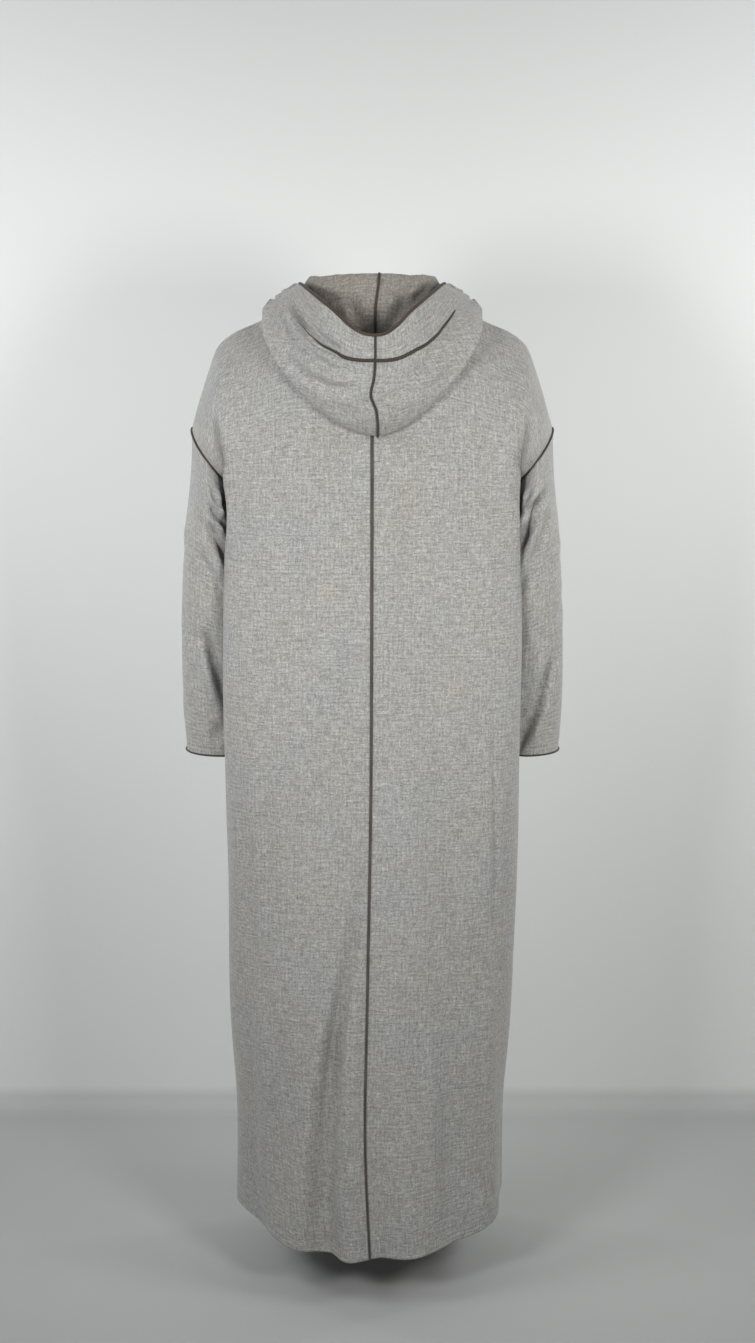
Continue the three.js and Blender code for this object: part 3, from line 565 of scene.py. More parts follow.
def tube(path, normals, half_wide, half_high, closed=False):
    """Verts, faces and UVs of a two-ply cord along a path: an oval, whose radius swells twice round
    it by a cosine that turns along the way."""
    path = np.asarray(path, float)
    sides, rows = CORD_SIDES, len(path)
    ahead = np.roll(path, -1, 0) - np.roll(path, 1, 0) if closed else np.gradient(path, axis=0)
    tangent = unit(ahead)
    aside = unit(np.cross(normals, tangent))
    up = np.cross(tangent, aside)
    s = running(path)
    a = np.linspace(0, 2 * math.pi, sides, endpoint=False)
    ply = 1 + PLY_HIGH * np.cos(2 * a[None] - 2 * math.pi * s[:, None] / PLY_PITCH)
    wide = np.broadcast_to(half_wide, s.shape)[:, None]
    ring = (
        aside[:, None] * (np.cos(a)[None] * ply * wide)[..., None]
        + up[:, None] * (np.sin(a)[None] * ply * half_high)[..., None]
    )
    verts = (path[:, None] + ring).reshape(-1, 3)
    i, k = grid_places(rows if closed else rows - 1, sides)
    corner = [(i, k), (i + 1, k), (i + 1, k + 1), (i, k + 1)]
    faces = np.stack([(p % rows) * sides + q % sides for p, q in corner], -1)
    reach = np.append(s, s[-1] + (s[-1] - s[-2]))
    uvs = np.stack([np.stack([q / sides * CORD_ROUND, reach[p] * MM], -1) for p, q in corner], 1)
    if not closed:
        verts = np.vstack([verts, path[0], path[-1]])
        k = np.arange(0, sides, 2)
        for centre, row, order in ((rows * sides, 0, (0, 1, 2)), (rows * sides + 1, rows - 1, (2, 1, 0))):
            ring_k = [row * sides + (k + m) % sides for m in order]
            faces = np.vstack([faces, np.stack([np.full_like(k, centre), *ring_k], -1)])
            uvs = np.vstack([uvs, np.zeros((len(k), 4, 2))])
    return verts, faces, uvs


def even(path, normals, step=1.3):
    """The path and its normals at even steps, by straight lines between its points."""
    count = max(int(path_length(path) / step), 8)
    s = running(path)
    want = np.linspace(0, s[-1], count + 1)
    p, n = (np.stack([np.interp(want, s, row) for row in rows.T], -1) for rows in (path, normals))
    return p, unit(n)


def add_cord(name, path, normals, node, half_wide, half_high=1.3, lift=None, closed=False,
             material=None):
    """A cord sewn down along a path. It lies on the cloth, pressed in by a quarter of its height,
    or is lifted off the path by a distance of its own."""
    p, n = even(path, normals)
    if closed:
        p, n = p[:-1], n[:-1]
    p = p + n * (CLOTH / 2 + half_high * 0.75 if lift is None else lift)
    wide = half_wide(np.linspace(0, 1, len(p))) if callable(half_wide) else half_wide
    verts, faces, uvs = tube(p, n, wide, half_high, closed)
    return add_object(name, verts, faces, uvs, node, material or cord)


# ---- materials ----
def node_tree(name, roughness, sheen, specular):
    """A new material with these constants on its shader. It gives the material, tree and shader."""
    material = bpy.data.materials.new(name)
    material.use_nodes = True
    tree = material.node_tree
    shader = tree.nodes["Principled BSDF"]
    shader.inputs["Roughness"].default_value = roughness
    shader.inputs["Specular IOR Level"].default_value = specular
    shader.inputs["Sheen Weight"].default_value = sheen
    shader.inputs["Sheen Roughness"].default_value = 0.5
    return material, tree, shader


def feed(tree, value, socket):
    """Links an output to a socket, or makes a constant the socket's value."""
    if isinstance(value, bpy.types.NodeSocket):
        tree.links.new(value, socket)
    else:
        socket.default_value = value


def new(tree, kind, **values):
    """A new node. Each value goes to the node's setting of that name, or else to its socket."""
    item = tree.nodes.new(kind)
    for key, value in values.items():
        if hasattr(item, key):
            setattr(item, key, value)
        else:
            feed(tree, value, item.inputs[key.replace("_", " ")])
    return item


def math_node(tree, operation, *values):
    """What a math node makes of numbers or outputs."""
    item = new(tree, "ShaderNodeMath", operation=operation)
    for value, socket in zip(values, item.inputs):
        feed(tree, value, socket)
    return item.outputs[0]


def ramp_colour(tree, value, stops):
    """The colour at a value, between stops that each have a place and a colour."""
    item = new(tree, "ShaderNodeValToRGB", Fac=value)
    elements = item.color_ramp.elements
    for k, (place, colour) in enumerate(stops):
        stop = elements[k] if k < len(elements) else elements.new(place)
        stop.position, stop.color = place, (*colour, 1)
    return item.outputs["Color"]


def mixed(tree, factor, a, b, blend="MULTIPLY"):
    """Colour a mixed with b, or multiplied by it, by a factor."""
    item = new(tree, "ShaderNodeMix", data_type="RGBA", blend_type=blend, Factor=factor, A=a, B=b)
    return item.outputs["Result"]


def finish_shader(tree, shader, colour, height, strength, distance):
    """Puts the colour on the shader, and its height as a bump of so many metres."""
    bump = new(tree, "ShaderNodeBump", Strength=strength, Distance=distance, Height=height)
    feed(tree, colour, shader.inputs["Base Color"])
    feed(tree, bump.outputs[0], shader.inputs["Normal"])


def stretched(tree, uv, across, length):
    """The UVs over a size across and along, both in metres."""
    return new(tree, "ShaderNodeMapping", Vector=uv, Scale=(1 / across, 1 / length, 1)).outputs[0]


def slub_field(tree, uv, across, length, detail=1.0):
    """A noise of short streaks, across and length in metres along U and V."""
    return new(tree, "ShaderNodeTexNoise", Vector=stretched(tree, uv, across, length), Scale=1.0,
               Detail=detail, Roughness=0.55).outputs["Fac"]


def yarn_rows(tree, uv, axis, pitch, wobble):
    """Rows of thicker yarn, as 0.5 + 0.5 sin(2 pi (distance / pitch + wobble)) along U or V."""
    place = new(tree, "ShaderNodeSeparateXYZ", Vector=uv).outputs[axis]
    turns = math_node(tree, "ADD", math_node(tree, "MULTIPLY", place, 1 / pitch), wobble)
    wave = math_node(tree, "SINE", math_node(tree, "MULTIPLY", turns, 2 * math.pi))
    return math_node(tree, "ADD", math_node(tree, "MULTIPLY", wave, 0.5), 0.5)


def centred(tree, value, gain):
    """A noise value about 0, times a gain."""
    return math_node(tree, "MULTIPLY", math_node(tree, "SUBTRACT", value, 0.5), gain)


# The cloth's yarns: size along U and V in metres, detail, and their weight in its shade. They are
# warp, weft, long thick warp, long thick weft, grain and cloudy patches.
YARNS = [(0.0022, 0.0080, 1.0, 0.40), (0.0085, 0.0021, 1.0, 0.44), (0.0036, 0.026, 1.0, 0.28),
         (0.028, 0.0034, 1.0, 0.32), (0.0022, 0.0022, 2.0, 0.68), (0.16, 0.22, 2.0, 0.06)]
# Rows of thicker yarn: axis, pitch in metres, size of the noise that bends them, weight.
YARN_ROWS = [("Y", 0.0060, (0.012, 0.006), 0.045), ("X", 0.0064, (0.006, 0.012), 0.035)]
CLOTH_GREYS = [(0.12, (0.150, 0.147, 0.140)), (0.5, (0.340, 0.337, 0.326)), (0.88, (0.60, 0.598, 0.582))]
CLOTH_TINTS = [(0.3, (1.0, 0.975, 0.94)), (0.7, (0.965, 0.985, 1.0))]
TINT_SIZE = (0.09, 0.13)
# Tint of the cloth's inner face: darker and warmer, partly the cloth's own reverse tone and partly painted
# shade for the hollow inside the hood, where that face shows.
WRONG_SIDE_SHADE_TINT = (0.79, 0.75, 0.70, 1)
THREAD = 0.0075                  # size of the fine thread bands' pattern, metres
THREAD_HIGH = 0.25


def make_cloth():
    """Mottled undyed cloth. Its light is the sum of the yarns' noises, each about 0 and times its
    weight. A ramp turns 0.5 plus the light into grey, a slow noise tints it warm or cool, and the
    wrong side is darker and warmer: partly the cloth's own reverse tone and partly painted shade
    for the hollow inside the hood. The light plus fine bands of thread is the height."""
    material, tree, shader = node_tree("melange_slub_cloth", 0.93, 0.25, 0.2)
    uv = new(tree, "ShaderNodeUVMap", uv_map="Cloth").outputs[0]
    parts = [centred(tree, slub_field(tree, uv, across, length, detail), weight)
             for across, length, detail, weight in YARNS]
    parts += [centred(tree, yarn_rows(tree, uv, axis, pitch, slub_field(tree, uv, *bend)), weight)
              for axis, pitch, bend, weight in YARN_ROWS]
    light = parts[0]
    for part in parts[1:]:
        light = math_node(tree, "ADD", light, part)
    grey = ramp_colour(tree, math_node(tree, "ADD", light, 0.5), CLOTH_GREYS)
    tint = ramp_colour(tree, slub_field(tree, uv, *TINT_SIZE), CLOTH_TINTS)
    # The inner face takes the darker tint: partly the cloth's reverse tone, partly painted shade.
    wrong_side_shade = new(tree, "ShaderNodeAttribute", attribute_name="wrong_side_shade").outputs["Fac"]
    colour = mixed(tree, wrong_side_shade, mixed(tree, 1.0, grey, tint), WRONG_SIDE_SHADE_TINT)
    thread = new(tree, "ShaderNodeTexWave", wave_type="BANDS", bands_direction="X", Scale=1.0,
                 Vector=stretched(tree, uv, THREAD, THREAD)).outputs["Fac"]
    height = math_node(tree, "ADD", light, math_node(tree, "MULTIPLY", thread, THREAD_HIGH))
    finish_shader(tree, shader, colour, height, 0.6, 0.0006)
    return material


def make_fibre_group():
    """Twisted yarn, for every cord: fine fibres along the plies and slow wear between a dark and a
    light colour. It gives the colour and the fibres' height."""
    group = bpy.data.node_groups.new("twisted_yarn", "ShaderNodeTree")
    for way, kind, label in (("INPUT", "Vector", "Along Cord"), ("INPUT", "Color", "Dark"),
                             ("INPUT", "Color", "Light"), ("INPUT", "Float", "Wear"),
                             ("OUTPUT", "Color", "Color"), ("OUTPUT", "Float", "Height")):
        group.interface.new_socket(label, in_out=way, socket_type=f"NodeSocket{kind}")
    enter, leave = new(group, "NodeGroupInput").outputs, new(group, "NodeGroupOutput").inputs
    fibre = slub_field(group, enter["Along Cord"], 0.0008, 0.003, 2.0)
    worn = slub_field(group, enter["Along Cord"], 0.02, 0.045)
    worn = math_node(group, "MULTIPLY", centred(group, worn, 1.0), enter["Wear"])
    shade = math_node(group, "ADD", math_node(group, "ADD", centred(group, fibre, 0.9), worn), 0.5)
    feed(group, mixed(group, shade, enter["Dark"], enter["Light"], "MIX"), leave["Color"])
    feed(group, fibre, leave["Height"])
    return group


def make_cord(name, dark, light, wear):
    """Cord of the twisted yarn, between two colours of its own."""
    material, tree, shader = node_tree(name, 0.8, 0.15, 0.25)
    along_cord = new(tree, "ShaderNodeUVMap", uv_map="Cloth").outputs[0]
    yarn = new(tree, "ShaderNodeGroup", node_tree=fibre_group, Along_Cord=along_cord,
               Dark=(*dark, 1), Light=(*light, 1), Wear=wear).outputs
    finish_shader(tree, shader, yarn["Color"], yarn["Height"], 0.5, 0.0003)
    return material


cloth = make_cloth()
fibre_group = make_fibre_group()
cord = make_cord("dark_twisted_cord", (0.014, 0.012, 0.009), (0.085, 0.072, 0.058), 0.5)
worn_cord = make_cord("brown_twisted_cord", (0.018, 0.013, 0.010), (0.105, 0.078, 0.060), 0.6)
pale_cord = make_cord("faded_twisted_cord", (0.028, 0.024, 0.020), (0.130, 0.116, 0.100), 0.9)


# ---- stitches ----
# One stitch in millimetres: length, pitch, half sizes, and how it lies on the cloth; its corners.
STITCH = dict(long=2.3, pitch=3.7, wide=0.32, high=0.26, lift=CLOTH / 2 + 0.1)
STITCH_RINGS, STITCH_SIDES = 5, 6
STITCH_END = 0.12                # radians that its blunt ends leave off the sine


def add_stitches(name, path, normals):
    """A row of hand-sized stitches along a path: each is a spindle, its rings' radius the sine of
    the way along it, laid on the cloth at even steps."""
    p, n = even(path, normals, STITCH["pitch"])
    t = unit(np.gradient(p, axis=0))
    b = unit(np.cross(n, t))
    p = p + n * STITCH["lift"]
    rings, sides = STITCH_RINGS, STITCH_SIDES
    way = np.linspace(STITCH_END, math.pi - STITCH_END, rings)[:, None]
    a = np.linspace(0, 2 * math.pi, sides, endpoint=False)
    ring = sum(axis[:, None, None] * shape[None, :, :, None] for axis, shape in (
        (b, np.sin(way) * np.cos(a) * STITCH["wide"]),
        (n, np.sin(way) * np.sin(a) * STITCH["high"]),
        (t, -np.cos(way) * np.ones(sides) * STITCH["long"] / 2)))
    verts = p[:, None, None] + ring
    i, k = grid_places(rings - 1, sides)
    beside = (k + 1) % sides
    walls = np.stack([i * sides + k, (i + 1) * sides + k, (i + 1) * sides + beside, i * sides + beside], -1)
    ends = [[0, 1, 2, 3], [0, 3, 4, 5]]
    last = (rings - 1) * sides
    ends += [[last + x for x in row[::-1]] for row in ends]
    shape = np.vstack([walls, ends])
    faces = (shape[None] + (np.arange(len(p)) * rings * sides)[:, None, None]).reshape(-1, 4)
    uvs = np.tile(np.array([(0, 0), (0, 0.002), (0.002, 0.002), (0.002, 0)]), (len(faces), 1, 1))
    return add_object(name, verts.reshape(-1, 3), faces, uvs, [], cloth)


# ---- body panels ----
SIDES = (("left", 1), ("right", -1))
COLUMNS = 92
US = np.linspace(0, 1, COLUMNS + 1)
VS = np.concatenate([np.linspace(0, 1, 71) ** 1.15, 1 + np.linspace(0, 0.975, 221)[1:] ** 1.06,
                     1 + np.linspace(0.975, 1, 13)[1:] ** 1.06])

# Creases of the panels: depth, half width, and points by the distance from the middle and the
# height.
PANEL_CREASES = {
    ("back", 1): [
        (5.5, 15, (150, -150), (172, -222), (188, -278), (198, -362)),
        (3.0, 16, (140, -235), (118, -330), (104, -470)),
        (3.0, 10, (188, -640), (186, -760), (180, -906), (175, -1000)),
        (2.0, 10, (148, -649), (152, -768), (147, -903)),
        (-2.6, 9, (169, -960), (164, -1103), (162, -1228), (167, -1360)),
        (-1.4, 18, (64, -430), (56, -600), (50, -780)),
        (6.8, 11, (7, -800), (22, -892), (41, -980), (56, -1072), (70, -1180)),
        (7.2, 15, (41, -980), (60, -1100), (74, -1211), (82, -1336), (84, -1440)),
        (-6.0, 13, (20, -930), (36, -1080), (46, -1240), (50, -1440)),
        (-4.5, 14, (70, -990), (90, -1130), (106, -1290), (112, -1430)),
        (2.6, 12, (134, -1010), (136, -1160), (140, -1380)), (1.4, 12, (30, -330), (26, -450), (30, -590)),
        (1.6, 10, (112, -620), (116, -760), (112, -900)),
    ],
    ("back", -1): [
        (4.8, 16, (138, -150), (158, -236), (176, -306), (190, -362), (200, -440)),
        (1.6, 17, (128, -225), (108, -320), (98, -430)),
        (5.8, 15, (70, -590), (78, -689), (88, -790), (100, -880), (112, -985)),
        (5.4, 18, (97, -840), (111, -972), (120, -1095), (126, -1235), (130, -1420)),
        (-2.8, 10, (158, -780), (167, -949), (173, -1072), (177, -1197), (174, -1340)),
        (3.4, 5, (170, -520), (177, -680), (179, -820), (172, -960)),
        (-1.8, 14, (40, -700), (52, -860), (66, -1010)), (-2.2, 12, (72, -1040), (84, -1190), (90, -1400)),
        (1.3, 12, (24, -430), (18, -560), (22, -720)), (2.0, 10, (30, -1080), (34, -1220), (32, -1430)),
        (2.0, 9, (152, -1040), (156, -1190), (150, -1380)),
    ],
    ("front", 1): [
        (3.0, 15, (104, -290), (94, -430), (92, -620)), (2.6, 15, (152, -300), (166, -400), (172, -560)),
        (-2.0, 16, (38, -380), (44, -540), (46, -740)), (2.6, 14, (60, -180), (92, -250), (128, -330)),
        (3.4, 13, (110, -860), (116, -1060), (112, -1300)), (2.0, 13, (24, -700), (20, -880), (18, -1100)),
        (3.4, 12, (60, -900), (48, -1080), (44, -1300)), (-2.6, 12, (78, -930), (74, -1130), (78, -1400)),
        (-2.2, 10, (160, -900), (164, -1080), (160, -1300)),
    ],
    ("front", -1): [
        (2.6, 15, (92, -320), (100, -470), (104, -640)), (2.8, 15, (146, -290), (164, -390), (176, -540)),
        (-1.8, 16, (36, -440), (30, -620), (28, -830)), (2.4, 14, (66, -190), (98, -262), (130, -322)),
        (3.6, 14, (86, -850), (92, -1060), (96, -1300)), (-2.6, 13, (128, -890), (134, -1090), (136, -1340)),
        (2.6, 12, (178, -700), (174, -860), (170, -1040)), (2.4, 12, (22, -940), (30, -1120), (28, -1360)),
        (-2.0, 10, (56, -1000), (60, -1180), (58, -1420)),
    ],
}


# Creases fade out towards a panel's sides and its upper edge; a seam pulls the cloth in.
EDGE_FADE = 24
TOP_FADE = 40
EDGE_DIP = dict(deep=0.7, wide=3.5)
HEM_STITCH_UP = 22.0


def slow_waves(a, z, seed, high):
    """A few long waves that keep a hanging panel from looking pressed: the mean of five sines of
    the way across and down, with drawn lengths and starts, times a height."""
    draw = np.random.default_rng(seed)
    total = np.zeros_like(a)
    for _ in range(5):
        across, tall = draw.uniform(70, 170), draw.uniform(260, 700)
        total += np.sin(a / across * 6.283 + z / tall * 6.283 + draw.uniform(0, 6.283))
    return total * high / 5


def add_panel(face_name, face, side_name, side, seed):
    """One panel of the body: its surface with creases and waves that fade out towards its edges,
    its UVs by the distances across and down, and the stitches of its hem."""
    grid = robe_grid(side, face, US, VS)
    normals = grid_normals(grid, (150, 20), (0, face, 0))
    steps = np.linalg.norm(np.diff(grid, axis=1), axis=2)
    across = np.concatenate([np.zeros((len(VS), 1)), np.cumsum(steps, axis=1)], axis=1)
    down = way_down(grid)[:, None] * np.ones((1, len(US)))
    height = fine_creases(PANEL_CREASES[face_name, side], np.abs(grid[..., 0]), grid[..., 2])
    height += slow_waves(across * side, grid[..., 2], seed, 1.6)
    rim = np.minimum(US, 1 - US)[None] * across[:, -1:]
    height *= smoothstep(rim, 0, EDGE_FADE) * smoothstep(down, 0, TOP_FADE)
    height -= EDGE_DIP["deep"] * bell(rim, EDGE_DIP["wide"])
    grid = grid + normals * height[..., None]
    if face < 0:
        opened = clamp01((grid[:, 0, 2] - SLIT["bottom"]) / (NECK["front_z"] - SLIT["bottom"]))
        shift = SLIT["open"] * opened[:, None] * np.maximum(1 - across / SLIT["wide"], 0) ** 2
        grid[..., 0] += side * shift
    uv = np.stack([across * side * MM, -down * MM], -1)
    name = f"{face_name}_panel_{side_name}"
    obj = add_shell(name, grid, normals, uv, [f"{face_name}_{side_name}"])
    to_hem = np.linalg.norm(np.diff(grid, axis=0), axis=2)[::-1].cumsum(axis=0)[::-1].mean(axis=1)
    row = int(np.abs(to_hem - HEM_STITCH_UP).argmin())
    add_stitches(f"hem_stitches_{face_name}_{side_name}", grid[row, 2:-2], normals[row, 2:-2])
    return grid, normals


panels = {}
for number, (face_name, face) in enumerate((("back", 1), ("front", -1))):
    for side_name, side in SIDES:
        seed = 11 + 2 * number + (side < 0)
        panels[face_name, side_name] = add_panel(face_name, face, side_name, side, seed)

left, right = panels["back", "left"], panels["back", "right"]
seam_path = (left[0][:, 0] + right[0][:, 0]) / 2
seam_normals = unit(left[1][:, 0] + right[1][:, 0])
# The cord starts under the hood and grows thinner towards the hem.
add_cord("back_seam_trim", seam_path[8:], seam_normals[8:], ["back_seam_cord"],
         half_wide=lambda q: 2.2 - 0.6 * q, material=pale_cord)

# ---- sleeves ----
SLEEVE_COLUMNS_FINE = 96
RING = np.linspace(0, 2 * math.pi, SLEEVE_COLUMNS_FINE, endpoint=False)
SS = np.concatenate([np.linspace(0, 0.95, 104) ** 1.05, np.linspace(0.95, 1, 13)[1:]])
# Creases of the sleeves, by the angle from the outer line to the back and the height.
SLEEVE_FINE = {
    1: [(3.6, 7, (96, -262), (108, -276), (120, -294)),
        (9.0, 7, (84, -288), (98, -297), (110, -304), (130, -320)),
        (3.0, 6, (90, -312), (96, -324), (104, -336)),
        (12.0, 10, (74, -318), (90, -331), (102, -344), (112, -364), (126, -388)),
        (5.0, 8, (58, -352), (72, -374), (84, -391), (102, -420)),
        (9.0, 9, (68, -474), (74, -492), (82, -514), (92, -547), (103, -585)),
        (7.0, 13, (92, -524), (100, -552), (108, -590), (112, -620)),
        (-3.4, 8, (60, -480), (68, -520), (80, -570)),
        (2.4, 11, (20, -440), (40, -476), (62, -500)), (2.2, 11, (6, -560), (24, -600), (46, -626)),
        (2.6, 10, (70, -646), (96, -622), (118, -604)), (-4.0, 9, (116, -258), (118, -290), (122, -320)),
        (3.0, 9, (-44, -296), (-80, -318), (-112, -330)), (2.8, 10, (-50, -470), (-84, -450), (-112, -438)),
        (2.2, 12, (-30, -620), (-62, -600), (-92, -590)), (2.0, 12, (150, -430), (170, -405), (190, -380)),
        (-2.0, 14, (8, -320), (26, -345), (46, -362))],
    -1: [(3.6, 7, (98, -268), (110, -278), (124, -292)),
         (10.0, 8, (56, -264), (80, -282), (98, -294), (132, -304)),
         (15.0, 11, (68, -272), (88, -292), (100, -316), (116, -362)),
         (5.4, 8, (54, -292), (68, -328), (80, -359), (94, -390), (116, -416)),
         (10.5, 9, (42, -496), (54, -546), (66, -584), (82, -618), (100, -654), (118, -690)),
         (6.0, 12, (84, -590), (98, -626), (110, -672)), (-3.2, 8, (46, -570), (62, -610), (80, -650)),
         (2.4, 11, (22, -480), (46, -520), (66, -548)), (2.2, 11, (2, -420), (18, -450), (40, -470)),
         (2.6, 9, (96, -452), (106, -500), (110, -560)), (-4.0, 9, (118, -258), (120, -290), (124, -320)),
         (3.0, 9, (-46, -306), (-82, -334), (-112, -352)), (2.8, 10, (-46, -500), (-80, -476), (-108, -460)),
         (2.2, 12, (-36, -640), (-66, -618), (-96, -600)), (2.0, 12, (150, -440), (170, -415), (190, -394)),
         (-2.0, 14, (12, -335), (28, -356), (46, -374))],
}


SLEEVE_ROUND = 380               # millimetres round a sleeve on its UV map
ARMPIT_FOLD = 138                # degrees from the outer line to the fold at the armpit
CUFF_FLAT = 26.0                 # the creases grow shallow over this height above the cuff
CUFF_CORD_UP = 1.6               # the cuff's cord above the edge
STITCH_UP = 12.0                 # the cuff's stitching above its edge, and the dip that it pulls
STITCH_DIP = dict(deep=0.7, wide=2.2)


def add_sleeve(side_name, side, seed):
    """One sleeve with its creases and slow waves, the dip and stitches of its hem, and the cords
    round its armhole and its cuff."""
    grid = sleeve_grid(side, RING, SS)
    normals = grid_normals(grid, (60, 0), (side, 0, 0), closed=True)
    a = np.broadcast_to(turned(RING) * ANGLE_MM, grid.shape[:2])
    table = [(deep, wide, *((angle * ANGLE_MM, z) for angle, z in line))
             for deep, wide, *line in SLEEVE_FINE[side]]
    height = fine_creases(table, a, grid[..., 2])
    height += np.sin(2 * RING + seed)[None] * np.sin(grid[..., 2] / 90 + seed) * 0.9
    height *= smoothstep(SS, 0, 0.08)[:, None]
    height *= 1 - 0.7 * smoothstep(grid[..., 2], CUFF_Z + CUFF_FLAT, CUFF_Z)
    height -= STITCH_DIP["deep"] * bell(grid[..., 2] - CUFF_Z - STITCH_UP, STITCH_DIP["wide"])
    grid = grid + normals * height[..., None]
    ring_mm = np.linspace(0, SLEEVE_ROUND, SLEEVE_COLUMNS_FINE + 1)
    uv = np.stack(np.broadcast_arrays(ring_mm[None] * MM, -way_down(grid)[:, None] * MM), -1)
    obj = add_shell(f"sleeve_cloth_{side_name}", grid, normals, uv, [f"sleeve_{side_name}"], closed=True)
    # The armhole cord, from one armpit fold over the arm to the other.
    reach = np.radians(np.linspace(-ARMPIT_FOLD, ARMPIT_FOLD, 140))
    ring = armhole(reach) + ARM_OUT * SEAM_GAP / 2
    ring[:, 0] *= side
    ring_normals = np.stack([np.interp(reach % (2 * math.pi), RING, row) for row in normals[3].T], -1)
    add_cord(f"armhole_trim_{side_name}", ring, ring_normals, [f"armhole_cord_{side_name}"],
             half_wide=1.45, half_high=1.1)
    row = int(np.abs(grid[:, 0, 2] - CUFF_Z - STITCH_UP).argmin())
    add_stitches(f"cuff_stitches_{side_name}", grid[row], normals[row])
    edge = np.vstack([grid[-1], grid[-1][:1]]) + (0, 0, CUFF_CORD_UP)
    edge_normals = np.vstack([normals[-4], normals[-4][:1]])
    add_cord(f"cuff_trim_{side_name}", edge, edge_normals, [f"cuff_cord_{side_name}"],
             half_wide=1.45, half_high=1.2, closed=True)


for (side_name, side), seed in zip(SIDES, (0.4, 2.1)):
    add_sleeve(side_name, side, seed)

# ---- hood ----
HOOD_ANGLES = np.linspace(0, HOOD_END, 101)
HOOD_SHARES = np.linspace(0, 1, 111)
# The centre seam wanders: share of the section, and how far to the wearer's left.
HOOD_SEAM = [(0, -9), (0.1, -10), (0.2, -5), (0.3, -4.5), (0.55, -6), (0.67, -8), (0.76, -6),
             (0.81, 1.5), (0.87, -3), (0.93, -4.5), (1, -4.5)]
HOOD_SEAM_FADE = 95.0            # how far to each side it carries the cloth along
# Creases of the inner and the outer layer of each half, by the distance to the wearer's left and
# the height.
HOOD_INNER = {
    1: [(-7.0, 8, (92, 22), (70, 14), (48, 10), (34, 6)), (3.4, 7, (84, 12), (62, 3), (40, -2)),
        (-5.0, 8, (64, -6), (44, -10), (26, -22)), (3.4, 7, (34, 0), (24, -18), (11, -36)),
        (-3.0, 7, (60, 28), (40, 24), (22, 28))],
    -1: [(3.6, 5, (-84, 30), (-76, 22), (-68, 10), (-59, -4)), (-7.0, 7, (-68, 28), (-58, 14), (-46, 0)),
         (3.4, 8, (-50, -8), (-36, -22), (-18, -38)), (-4.0, 9, (-30, 12), (-26, -8), (-14, -24)),
         (-4.0, 7, (-86, 14), (-74, -2), (-56, -18))],
}
HOOD_OUTER = {
    1: [(6.5, 7, (118, -76), (105, -92), (86, -107), (63, -120), (32, -121), (8, -115)),
        (-3.5, 8, (112, -58), (96, -80), (76, -96), (52, -106)),
        (-8.0, 7, (30, -94), (54, -80), (75, -65), (92, -49), (106, -30), (117, -8)),
        (1.6, 7, (60, -140), (40, -152), (16, -154)), (1.8, 9, (128, -66), (112, -100), (90, -130))],
    -1: [(1.8, 4, (-11, -134), (-30, -134), (-54, -139)), (1.6, 4, (-9, -144), (-24, -146), (-42, -149)),
         (2.6, 8, (-96, -66), (-79, -84), (-64, -98), (-44, -104)),
         (-2.4, 8, (-104, -80), (-88, -100), (-66, -114)),
         (2.0, 9, (-128, -62), (-110, -96), (-88, -126)), (1.6, 8, (-60, -122), (-40, -128), (-18, -122))],
}

# Where the band dips into the fold below it, on both layers.
BAND_DIP = [(12.0, 7, (30, -78), (50, -67), (64, -58), (78, -47), (90, -34), (100, -18), (106, -2))]

hood_paths = [hood_path(angle) for angle in HOOD_ANGLES]
hood_lengths = np.array([path_length(path) for path in hood_paths])
hood_half = np.array([along(path, HOOD_SHARES) for path in hood_paths])
# The column at the foot of the bag, which is the lowest one past the roll. In front of the
# shoulders the foot keeps the column that it has there.
PAST_ROLL = 40
SHOULDER_ANGLE = 100
FOOT = hood_half[..., 2][:, PAST_ROLL:].argmin(axis=1) + PAST_ROLL
FOOT[HOOD_ANGLES > SHOULDER_ANGLE] = FOOT[HOOD_ANGLES <= SHOULDER_ANGLE][-1]
# Columns from the foot over which the creases of each layer set in.
OUTER_FROM = (0, 8)
INNER_FROM = (30, 36)
hood_seam = graph(HOOD_SEAM, 1)


def wander(grid, shares):
    """Moves a grid of the hood along with its centre seam, less by the square of the distance."""
    reach = np.maximum(1 - np.abs(grid[..., 0]) / HOOD_SEAM_FADE, 0) ** 2
    grid[..., 0] += hood_seam(shares) * reach
    return grid


def hood_uv(grid, side):
    """Threads that run level and upright on both layers: across is the level distance from the
    seam, and down is the distance from the foot of the bag, set off by the foot's own height."""
    level = np.linalg.norm(np.diff(grid[..., :2], axis=0), axis=2)
    across = np.concatenate([np.zeros((1, grid.shape[1])), np.cumsum(level, axis=0)])
    rows = np.arange(len(grid))
    arc = HOOD_SHARES[None] * hood_lengths[:, None] - (HOOD_SHARES[FOOT] * hood_lengths)[:, None]
    foot_z = grid[rows, FOOT, 2][:, None]
    level_out = 2 * (foot_z[0] - foot_z) * smoothstep(-arc, 0, 60)
    return np.stack([side * across * MM, (foot_z + arc + level_out) * MM], -1)


def hood_normals(grid, at):
    """The grid's normals. On the centre seam they have no part to the side, so the halves meet."""
    normals = grid_normals(grid, at, (0, 1, 0))
    normals[0, :, 0] = 0
    normals[0] = unit(normals[0])
    return normals


